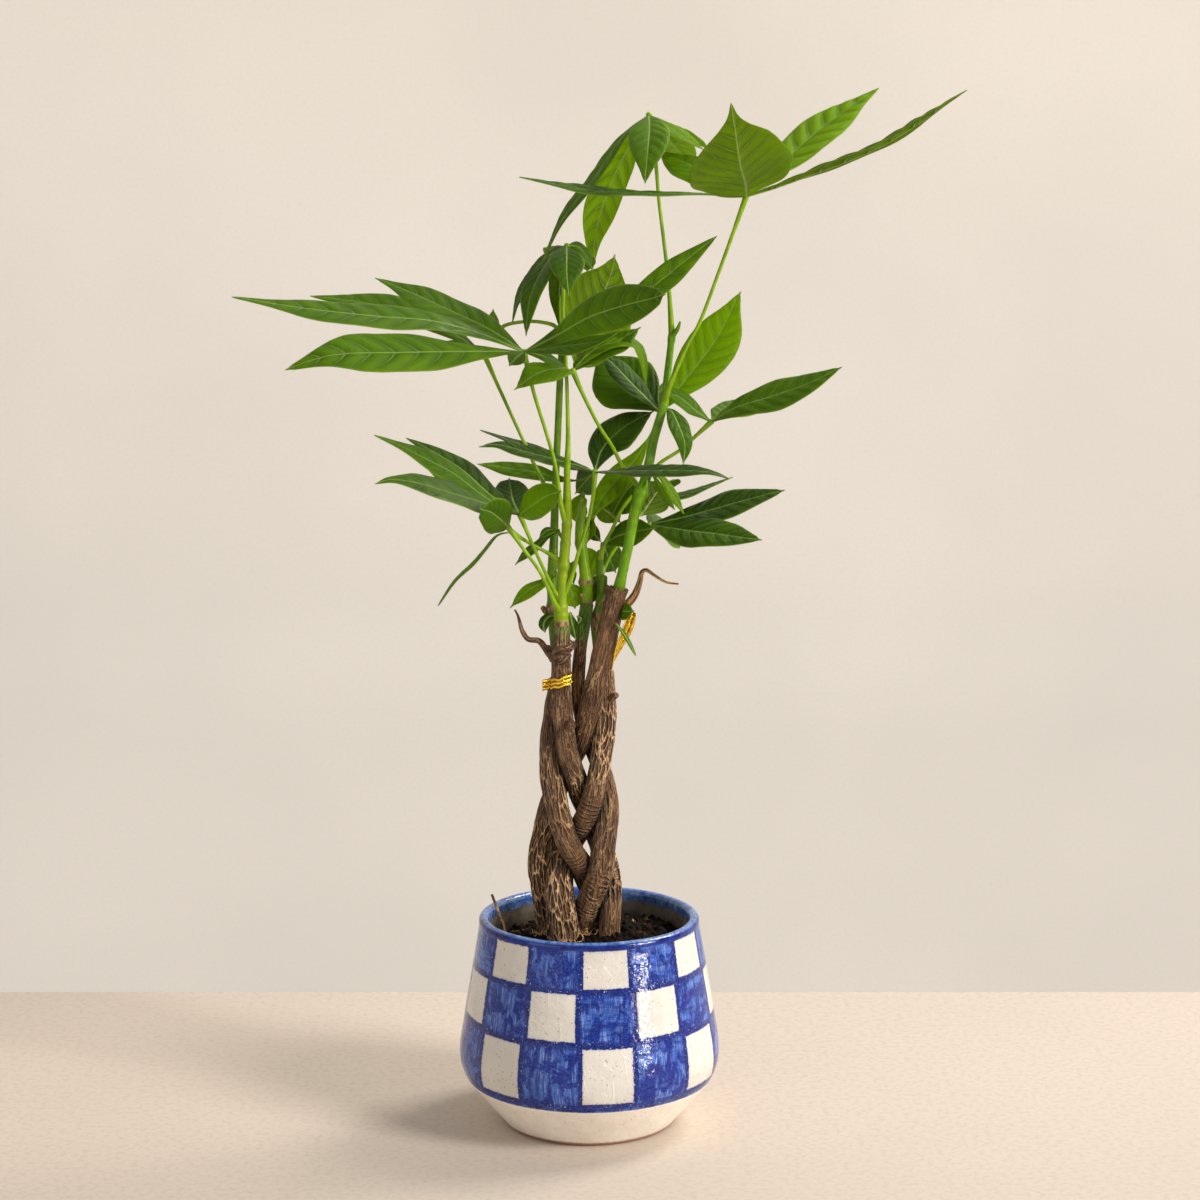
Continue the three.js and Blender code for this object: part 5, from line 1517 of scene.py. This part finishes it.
def pot_profile():
    (foot_r, _), (shoulder_r, shoulder_z) = POT["foot"], POT["shoulder"]
    (belly_r, belly_z), (neck_r, neck_z), (ring_r, ring_z) = POT["belly"], POT["neck"], POT["ring"]
    wall, tube = POT["wall"], POT["tube"]
    flare = [(foot_r - 1.2, 0.0), (foot_r - 0.3, 0.25), (foot_r + 0.6, 1.0)]
    flare += between((foot_r + 0.9, 1.5), (shoulder_r - 0.8, shoulder_z - 1.0), 14)
    lean = (neck_r - belly_r) / (neck_z - belly_z)
    top_z = POT["belt_top"]
    top_r = belly_r + lean * (top_z - belly_z)
    rise = top_z - shoulder_z
    belt = []
    for t in np.linspace(0, 1, 32):
        swing = (t - 2 * t * t + t ** 3) * POT["belt_slope"] + (t ** 3 - t * t) * lean
        radius = shoulder_r + (top_r - shoulder_r) * t * t * (3 - 2 * t) + swing * rise
        belt.append((radius, shoulder_z + rise * t))
    side = between((top_r, top_z), (neck_r, neck_z - 0.4), 36)[1:]
    rim = []
    for degrees in range(-15, 196, 14):
        angle = math.radians(degrees)
        rim.append((ring_r + tube * math.cos(angle), ring_z + tube * math.sin(angle)))
    inside = between((neck_r - wall, neck_z - POT["lip_depth"]), (belly_r - wall, belly_z), 20)
    inside += [(shoulder_r - wall, shoulder_z + POT["haunch"]), (foot_r - wall, POT["floor"])]
    inside += [(0, POT["floor"])]
    return [(0, 0), (foot_r * 0.6, 0), *flare, *belt, *side, *rim, *inside]


print("profile points:", len(pot_profile()))

# %% [markdown]
# The glaze is painted by hand: three rows of cream squares on watery blue. The pattern is drawn from the
# place on the pot: the angle round it gives a length along the wall, and each square is a signed distance in
# that length and the height. Noise moves the edge, a dark grainy line follows it, and pale vertical streaks
# run down the middle of each blue square. Glaze pools in the low places and thins over the rim, and the rim's
# top is lighter, partly from that and partly as a painted highlight. Inside, the wall is painted darker as
# painted shade, most of all towards the soil.

# %% Glaze
CHECK = dict(radius=70.0, pitch=51.43 / 360 * 2 * math.pi * 70.0, half=13.5,
             rows=[(8.5, 105.7, 10.2), (34.2, 79.8, 12.7), (8.5, 47.7, 15.2)], seams=[94.0, 64.9, 30.2],
             bare_top=27.0, rim_low=116.2, inner_radius=61.0, inner_band=113.2)


def draw_glaze(bench):
    place = own_place(bench)
    x, y, z = bench.split(place)
    angle = x.math("ARCTAN2", x, y * -1)
    run_mm = angle * CHECK["radius"]
    height = z / MM
    radius = (x * x + y * y) ** 0.5 / MM
    sway = (place.noise(55, 2) - 0.5) * 2.4
    ragged = (place.noise(620, 3, 0.7) - 0.5) * 3.6
    distance = None
    for degrees, centre, half_height in CHECK["rows"]:
        start = math.radians(degrees) * CHECK["radius"]
        turns = (run_mm - start) / CHECK["pitch"]
        wide = CHECK["half"] - turns.off_line() * CHECK["pitch"]
        tall = half_height - abs(height - centre)
        corner = wide.least(tall)
        distance = corner if distance is None else distance.most(corner)
    distance = distance + sway * 0.5 + ragged * 0.5
    inside = (1 - radius.step(CHECK["inner_radius"] - 0.3, CHECK["inner_radius"])) * height.step(92, 93)
    rim = height.step(CHECK["rim_low"] - 0.4, CHECK["rim_low"] + 0.4)
    bare = 1 - (height + sway * 0.3 + ragged * 0.3).step(CHECK["bare_top"] - 0.3, CHECK["bare_top"] + 0.4)
    cream = distance.step(-0.2, 0.25) * (1 - rim)
    outside = 0 - distance

    grain = place.noise(1500, 3, 0.7)
    pool = place.noise(110, 3, 0.6)
    down = bench.vector(run_mm * 0.42, height * 0.045, radius * 0.05).noise(1, 3, 0.6, 0.5)
    fine_down = bench.vector(run_mm * 1.5, height * 0.13, radius * 0.05).noise(1, 3, 0.6, 0.5)
    along = bench.vector(run_mm * 0.07, height * 0.42, radius * 0.05).noise(1, 3, 0.6, 0.5)
    start = math.radians(CHECK["rows"][0][0]) * CHECK["radius"]
    halves = (run_mm - start) * 2 / CHECK["pitch"]
    square = halves.math("ROUND", halves)
    row = height.step(64.4, 65.4) + height.step(93.5, 94.5)
    draw = bench.make("ShaderNodeTexWhiteNoise", {}, {"Vector": bench.vector(square, row, 2.0)})
    lying = draw.math("GREATER_THAN", draw, 0.5)
    stroke = down * (1 - lying) + along * lying
    middle = (outside + (pool - 0.5) * 5).step(1.6, 3.4)
    pebbles = place.noise(820, 3, 0.75)
    blobs = bench.vector(run_mm * 0.12, height * 0.08, radius * 0.05).noise(1, 3, 0.6, 0.8)
    wash = blobs.step(0.42, 0.56) * middle
    blue = bench.blend(pebbles.step(0.36, 0.6), screen(0, 14, 96), screen(0, 42, 148))
    blue = blue.coat(wash * (0.4 + stroke.step(0.4, 0.6) * 0.4), 70, 114, 200)
    blue = blue.coat(wash * fine_down.step(0.52, 0.66) * 0.5, 164, 182, 222)
    blue = blue.coat((1 - stroke.step(0.34, 0.48)) * 0.6, 0, 20, 104)
    blue = blue.coat((1 - fine_down.step(0.34, 0.46)) * 0.4, 0, 22, 110)
    blue = blue.coat(grain.step(0.54, 0.66) * 0.3, 86, 128, 212)
    blue = blue.coat((1 - pebbles.step(0.34, 0.44)) * 0.6, 0, 16, 92)
    seam = None
    for level in CHECK["seams"]:
        near = 1 - (abs(height + sway * 0.8 - level) + (along - 0.5) * 5).step(1, 3)
        seam = near if seam is None else seam.most(near)
    line = 1 - (outside + (grain - 0.5) * 3.2 + (pool - 0.5) * 3.4).step(2, 4)
    painted = line.most(seam * 0.8) * (1 - rim)
    deep = bench.blend(pebbles.step(0.42, 0.64), screen(0, 12, 84), screen(10, 48, 148))
    deep = deep.coat(grain.step(0.6, 0.7) * 0.6, 96, 130, 200)
    blue = bench.blend(painted * 0.9, blue, deep)
    smudge = place.noise(210, 2).step(0.6, 0.72) * place.noise(34, 1).step(0.5, 0.62)
    blue = blue.coat(smudge * 0.5, 84, 60, 150)
    glints = place.noise(900, 2, 0.5).step(0.66, 0.72)
    blue = blue.coat(glints * (painted * 0.6 + 0.15), 206, 216, 236)

    # The rim's top is lighter, partly thin glaze and partly a painted highlight, and the pale grey specks on
    # it are painted highlights.
    rim_wear_and_glint = place.noise(200, 4, 0.7)
    crest_and_highlight = height.step(118.6, 119.7)
    rim_blue = bench.blend(rim_wear_and_glint.step(0.36, 0.62), screen(0, 10, 84), screen(10, 44, 136))
    rim_top = bench.blend(rim_wear_and_glint.step(0.36, 0.6), screen(40, 76, 150), screen(96, 128, 180))
    rim_top = rim_top.coat(rim_wear_and_glint.step(0.6, 0.7) * 0.5, 180, 186, 194)
    rim_blue = bench.blend(crest_and_highlight, rim_blue, rim_top)

    clouds = place.noise(45, 3).step(0.3, 0.7)
    ivory = bench.blend(clouds, screen(209, 203, 194), screen(222, 216, 208))
    chosen = place.noise(160, 2).step(0.42, 0.56)
    pinholes = (1 - place.cells(420, "F1").step(0.08, 0.22)) * chosen
    leaning = bench.vector(run_mm + height * 0.5, height * 0.22 - run_mm * 0.1, radius * 0.1)
    hair = bench.vector(run_mm * 0.2, height * 0.1 + run_mm * 0.05, 0.0).cells(1.0)
    other_hair = leaning.cells(0.11)
    hairs = (1 - hair.step(0.004, 0.02)).most(1 - other_hair.step(0.004, 0.016))
    hairs = hairs * place.noise(90, 2).step(0.46, 0.56)
    ivory = ivory.coat(hairs * 0.3, 244, 240, 230)
    stain = (1 - distance.step(0.2, 1.5)) * grain.step(0.42, 0.66)
    ivory = ivory.coat(stain * 0.6, 112, 122, 160)
    ivory = ivory.coat(pinholes * 0.85, 132, 98, 66)
    base = bench.blend(pool.step(0.3, 0.7), screen(242, 233, 219), screen(250, 243, 231))
    base = base.coat(pinholes.most(grain.step(0.62, 0.78) * 0.5) * 0.7, 158, 128, 94)
    foot_line = 1 - (height + ragged * 0.5).step(1.4, 3.2)
    base = base.coat(foot_line * 0.9, 150, 88, 44)

    # The inside wall is painted darker than the glaze outside as painted shade, with darker mottling, and
    # darker still further down towards the soil as painted shade.
    inner_mottle = place.noise(28, 3, 0.6)
    wall_inside = bench.blend(inner_mottle.step(0.35, 0.62), screen(140, 132, 116), screen(66, 58, 46))
    painted_depth_shade = 1 - (height + (inner_mottle - 0.5) * 12).step(98, 110)
    wall_inside = wall_inside.coat(painted_depth_shade * 0.75, 44, 36, 26)
    fade = (height - CHECK["inner_band"] + (rim_wear_and_glint - 0.5) * 7).step(-1.2, 1.6)
    wall_inside = bench.blend(fade, wall_inside, rim_top)
    colour = bench.blend(cream, blue, ivory)
    colour = bench.blend(rim, colour, rim_blue)
    colour = bench.blend(bare, colour, base)
    colour = bench.blend(inside * (1 - crest_and_highlight), colour, wall_inside)
    rough = cream * 0.03 + 0.07 + bare * 0.4 + grain * 0.04
    lumpy = (place.noise(170, 2) * 0.8 + place.noise(420, 2) * 0.35
             + pebbles * (1 - cream) * 0.08)
    marks = (hairs * cream * 0.3 + cream * (1 - bare) * 0.12 - pinholes * 0.3 + grain * 0.03
             - painted * 0.05 + glints * 0.05)
    return {"Base Color": colour, "Roughness": rough, "height": lumpy + marks, "strength": 0.42,
            "depth": 0.0012}


glaze = material("glaze_painted", draw_glaze)
pot_piece = turned("fine_pot", pot_profile(), POT["sectors"], POT["wobble"], glaze)
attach(pot_piece, "root")
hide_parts("pot")
print("pot faces:", len(pot_piece.data.polygons))

# %% [markdown]
# The soil is a dark crumbly mound. Its body is a turned plug whose top follows the CAD's own height
# formula, lifted and pitted by noise in a growth. A second growth strews small rough stones on it,
# once as crumbs and once as finer grains. Each has its seed, so they fall the same way every time.

# %% Soil
PLUG = dict(levels=(45, 72, 92), rim=101, top_from=100.9, rings=62, crowding=1.15)


def inner_radius(z):
    belly_r, belly_z = POT["belly"]
    top = POT["neck"][1] - POT["lip_depth"]
    return belly_r + (POT["neck"][0] - belly_r) * (z - belly_z) / (top - belly_z) - POT["wall"]


def soil_plug():
    wall, clear = POT["wall"], SOIL["clearance"]
    rim = inner_radius(PLUG["rim"]) - clear
    profile = [(0, POT["floor"] + clear), (POT["foot"][0] - wall - clear, POT["floor"] + clear),
               (POT["shoulder"][0] - wall - clear, POT["shoulder"][1] + POT["haunch"])]
    profile += [(inner_radius(level) - clear, level) for level in PLUG["levels"]]
    shares = 1 - np.linspace(0, 1, PLUG["rings"]) ** PLUG["crowding"]
    profile += [(rim * share, PLUG["rim"]) for share in shares]
    profile[-1] = (0, PLUG["rim"])
    plug = turned("soil_plug", profile, SOIL["sectors"], 0.0, None)
    top = plug.data.attributes.new("top", "FLOAT", "POINT")
    for corner, mark in zip(plug.data.vertices, top.data):
        if corner.co.z > PLUG["top_from"] * MM:
            x, y = corner.co.x / MM, corner.co.y / MM
            corner.co.z = soil_height(x, y) * MM
            mark.value = 1.0
    mesh = plug.data
    bpy.data.objects.remove(plug)
    return mesh


def draw_soil(bench, given):
    place = bench.make("GeometryNodeInputPosition")
    top = field(bench, "top")
    broad = (place.noise(70, 2) - 0.45) * 4 * MM
    clods = (place.noise(230, 3, 0.6) - 0.5) * 4.6 * MM
    crumbs = (0.35 - place.cells(420.0, "F1")) * 1.3 * MM
    lift = (broad + clods + crumbs) * top
    raised = {"Geometry": given["Geometry"], "Offset": bench.vector(0.0, 0.0, lift)}
    shape = bench.make("GeometryNodeSetPosition", {}, raised)
    return kept(bench, shape, "tint", 0.25)


def draw_crumbs(bench, given):
    """Strewn crumbs: rough stones on every face that is marked as top."""
    top = field(bench, "top")
    chance = top.math("GREATER_THAN", top, 0.5) * given["Density"]
    strewing = {"Mesh": given["Geometry"], "Density": chance, "Seed": given["Seed"]}
    points = bench.make("GeometryNodeDistributePointsOnFaces", {"distribute_method": "RANDOM"}, strewing)
    stone = bench.make("GeometryNodeMeshIcoSphere", {}, {"Radius": MM, "Subdivisions": given["Detail"]})
    spot = bench.make("GeometryNodeInputPosition")
    normal = bench.make("GeometryNodeInputNormal")
    bumpy = (spot.noise(1500, 2) - 0.5) * 2.4 * MM
    lumpy = {"Geometry": stone, "Offset": scaled(bench, normal, bumpy)}
    stone = bench.make("GeometryNodeSetPosition", {}, lumpy)
    any_turn = {"Max": (6.3, 6.3, 6.3), "Seed": 3}
    turn = bench.make("FunctionNodeRandomValue", {"data_type": "FLOAT_VECTOR"}, any_turn)
    small = random_number(bench, 0.0, 1.0, 5) ** given["Rarity"]
    size = small * (given["Largest"] - given["Smallest"]) + given["Smallest"]
    flat = random_number(bench, 0.5, 1.0, 11)
    scale = bench.vector(size, size * flat, size * random_number(bench, 0.6, 1.0, 12))
    sockets = {"Points": points, "Instance": stone, "Rotation": turn, "Scale": scale}
    strewn = bench.make("GeometryNodeInstanceOnPoints", {}, sockets)
    return kept(bench, strewn, "tint", random_number(bench, 0.0, 1.0, 8), "INSTANCE")


def random_number(bench, low, high, seed):
    node = bench.tree.nodes.new("FunctionNodeRandomValue")
    node.data_type = "FLOAT"
    for socket in node.inputs:
        if socket.identifier == "Min_001":
            socket.default_value = low
        elif socket.identifier == "Max_001":
            socket.default_value = high
        elif socket.identifier == "Seed":
            socket.default_value = seed
    output = [socket for socket in node.outputs if socket.identifier == "Value_001"][0]
    return Wire(bench, output)


soil_tree = growth("soil_top", {}, draw_soil)
crumb_inputs = {"Density": ("Float", 1000.0), "Seed": ("Int", 4), "Smallest": ("Float", 0.3),
                "Largest": ("Float", 2.0), "Rarity": ("Float", 3.0), "Detail": ("Int", 2)}
crumb_tree = growth("crumbs", crumb_inputs, draw_crumbs)


def draw_earth(bench):
    place = own_place(bench)
    tint = carried(bench, "tint")
    fibre = place.stretched((1, 0.3, 1)).noise(1500, 3, 0.7)
    clump = place.noise(160, 3, 0.6)
    dark = bench.blend(clump.step(0.3, 0.7), screen(6, 3, 1), screen(19, 11, 5))
    brown = dark.coat(tint.step(0.6, 0.9), 44, 25, 11)
    brown = brown.coat(tint.step(0.95, 0.97), 88, 58, 30)
    brown = brown.coat(tint.step(0.985, 0.99), 176, 150, 112)
    body = brown.coat(fibre.step(0.6, 0.74) * 0.7, 98, 62, 30)
    return {"Base Color": body, "Roughness": 0.9 - tint * 0.1, "height": fibre + clump, "strength": 0.8,
            "depth": 0.0008}


earth = material("soil_crumbly", draw_earth, **{"Specular IOR Level": 0.15})
mound = grown("fine_soil", soil_plug(), soil_tree, earth)
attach(mound, "root")
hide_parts("soil")
crumbs = grown("soil_crumbs", mound.data.copy(), crumb_tree, earth, Density=115000.0, Seed=4, Smallest=0.8,
               Largest=3.2, Rarity=2.6, Detail=2)
grains = grown("soil_grains", mound.data.copy(), crumb_tree, earth, Density=200000.0, Seed=7, Smallest=0.35,
               Largest=1.1, Rarity=2.0, Detail=1)
for strewn in (crumbs, grains):
    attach(strewn, "root")
    print(strewn.name, "faces:", len(strewn.data.polygons))

# %% [markdown]
# Two gold foil ties were left on the braid by the nursery. The left one is a band pressed into three ridges,
# a little tilted, with its end standing out to the left. The right one is a strip that was twisted and leans
# on the trunk. Both are thin sheets, so each is a ruled surface with crinkles. The foil's dents are left to
# the bump, and its colour carries painted reflections: lighter and darker patches over the dents, dark
# valleys between the ridges as painted shade and light crests as painted highlight.

# %% Gold ties
def draw_foil(bench):
    place = own_place(bench)
    dents = place.noise(420, 3, 0.6, 0.8)
    fine = place.noise(1600, 2, 0.6)
    # The lighter and darker patches over the dents are painted reflections.
    gold = bench.blend(dents.step(0.38, 0.62), screen(196, 134, 8), screen(250, 206, 58))
    gold = gold.coat(fine.step(0.54, 0.7) * 0.3, 120, 74, 4)
    painted_valley_shade = carried(bench, "painted_valley_shade")
    # Crests are a painted highlight and valleys are painted shade.
    gold = gold.coat((1 - painted_valley_shade).step(0.6, 1) * 0.6, 255, 226, 96)
    gold = gold.coat(painted_valley_shade.step(0.4, 1) * 0.85, 92, 50, 4)
    return {"Base Color": gold, "Roughness": 0.1 + fine * 0.16, "height": dents * 1.6 + fine * 0.2,
            "strength": 0.5, "depth": 0.0012}


foil = material("foil_gold", draw_foil, Metallic=1.0)


def sheet_piece(name, upper, lower, painted_valley_shade, finish):
    """A thin closed sheet between two grids of points in mm. Each column has its share of painted valley
    shade.
    """
    solid = bmesh.new()
    faces = [[[solid.verts.new(np.asarray(point) * MM) for point in row] for row in grid]
             for grid in (upper, lower)]
    rows, columns = len(upper), len(upper[0])
    for grid in faces:
        for i in range(rows - 1):
            for j in range(columns - 1):
                solid.faces.new([grid[i][j], grid[i + 1][j], grid[i + 1][j + 1], grid[i][j + 1]])
    top, under = faces
    loop = [(i, 0) for i in range(rows)] + [(rows - 1, j) for j in range(1, columns)]
    loop += [(i, columns - 1) for i in range(rows - 2, -1, -1)] + [(0, j) for j in range(columns - 2, 0, -1)]
    for (i, j), (k, l) in zip(loop, loop[1:] + loop[:1]):
        solid.faces.new([top[i][j], top[k][l], under[k][l], under[i][j]])
    bmesh.ops.recalc_face_normals(solid, faces=solid.faces)
    piece = as_piece(solid, name, finish, smooth=True)
    shares = np.tile(np.asarray(painted_valley_shade, dtype=np.float32), 2 * rows)
    piece.data.attributes.new("painted_valley_shade", "FLOAT", "POINT").data.foreach_set("value", shares)
    return piece


COLUMNS = 25
BAND = dict(row=678.5, clear=0.55, foil=0.25, ridges=3, pitch=2.1, ridge=0.8, tilt=1.5, tail=4.6,
            turns=(-200, 120), stations=120, tail_stations=26)


def band_tie():
    """A ridged band round trunk a whose left end leaves the trunk and runs out as a tail."""
    line = trunk_lines["trunk_a"]
    level = height_of(BAND["row"])
    nearest = int(np.argmin(abs(line[:, 2] - level)))
    axis = line[nearest]
    girth = run(TRUNKS["trunk_a"]["radii"], [nearest / (len(line) - 1)])[0] * BARK_FULLNESS + BAND["clear"]
    width = BAND["ridges"] * BAND["pitch"]
    turns = np.linspace(*map(math.radians, BAND["turns"]), BAND["stations"])
    path = []
    for turn in turns:
        out = np.array([math.sin(turn), -math.cos(turn), 0.0])
        path.append((axis + out * girth, out))
    along_tail = np.array([-1.0, -0.25, 0.0])
    front = min(range(len(path)), key=lambda i: abs(turns[i] + math.pi / 2))
    path = path[front:]
    leave = path[0][0]
    tail = [(leave + along_tail * BAND["tail"] * t + np.array([0, 0, -0.5 * t]), np.array([-0.2, -1.0, 0.0]))
            for t in np.linspace(1, 0.04, BAND["tail_stations"])]
    path = tail + path
    upper, lower = [], []
    for i, (spot, out) in enumerate(path):
        rise = (spot[0] - axis[0]) * BAND["tilt"] / girth + 0.3 * math.sin(i * 0.31)
        row_up, row_down = [], []
        for k in np.linspace(0, 1, COLUMNS):
            ridge = abs(math.sin(math.pi * BAND["ridges"] * k)) ** 0.7 * BAND["ridge"]
            crinkle = 0.1 * math.sin(i * 1.7 + k * 9) * math.sin(i * 0.53)
            point = spot + unit(out) * (ridge + crinkle)
            point = np.array([point[0], point[1], level + rise + (k - 0.5) * width])
            row_up.append(point + unit(out) * BAND["foil"] / 2)
            row_down.append(point - unit(out) * BAND["foil"] / 2)
        upper.append(row_up)
        lower.append(row_down)
    painted_valley_shade = (1 - abs(np.sin(math.pi * BAND["ridges"] * np.linspace(0, 1, COLUMNS)))) ** 1.5
    return sheet_piece("fine_tie_left", upper, lower, painted_valley_shade, foil)


STRIP = dict(path=[(632, 612, -9), (628, 626, -9.5), (621, 641, -9), (615, 655, -7), (610.5, 669, -3.5)],
             breadth=[4.8, 6.6, 5.4, 3.8, 2.0], foil=0.25, turn=1.5, fold=0.5, pleat=0.45)


def twisted_tie():
    line = smooth_line(placed(STRIP["path"]), 70)
    tangents = unit(np.gradient(line, axis=0))
    trunk = trunk_lines["trunk_c"]
    axis = trunk[int(np.argmin(np.linalg.norm(trunk - line[-1], axis=1)))]
    out = (line[-1] - axis) * [1, 1, 0]
    upper, lower = [], []
    for i, (spot, tangent) in enumerate(zip(line, tangents)):
        place = i / (len(line) - 1)
        up = unit(out - tangent * np.dot(out, tangent))
        turn = STRIP["turn"] * (1 - place ** 3)
        up = up * math.cos(turn) + np.cross(tangent, up) * math.sin(turn)
        side = np.cross(tangent, up)
        half = run(STRIP["breadth"], [place])[0] / 2
        row_up, row_down = [], []
        for k in np.linspace(-1, 1, COLUMNS):
            bend = STRIP["fold"] * abs(k) ** 1.3 + STRIP["pleat"] * math.cos(2.2 * math.pi * k + 0.03 * i)
            bend += 0.05 * math.sin(i * 0.9 + 5 * k)
            point = spot + side * half * k + up * bend
            row_up.append(point + up * STRIP["foil"] / 2)
            row_down.append(point - up * STRIP["foil"] / 2)
        upper.append(row_up)
        lower.append(row_down)
    painted_valley_shade = (0.5 - 0.5 * np.cos(2.2 * math.pi * np.linspace(-1, 1, COLUMNS))) ** 2
    return sheet_piece("fine_tie_right", upper, lower, painted_valley_shade, foil)


for piece, node in ((band_tie(), "tie_left"), (twisted_tie(), "tie_right")):
    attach(piece, "root")
    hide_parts(node)
    print(piece.name, len(piece.data.polygons), "faces")
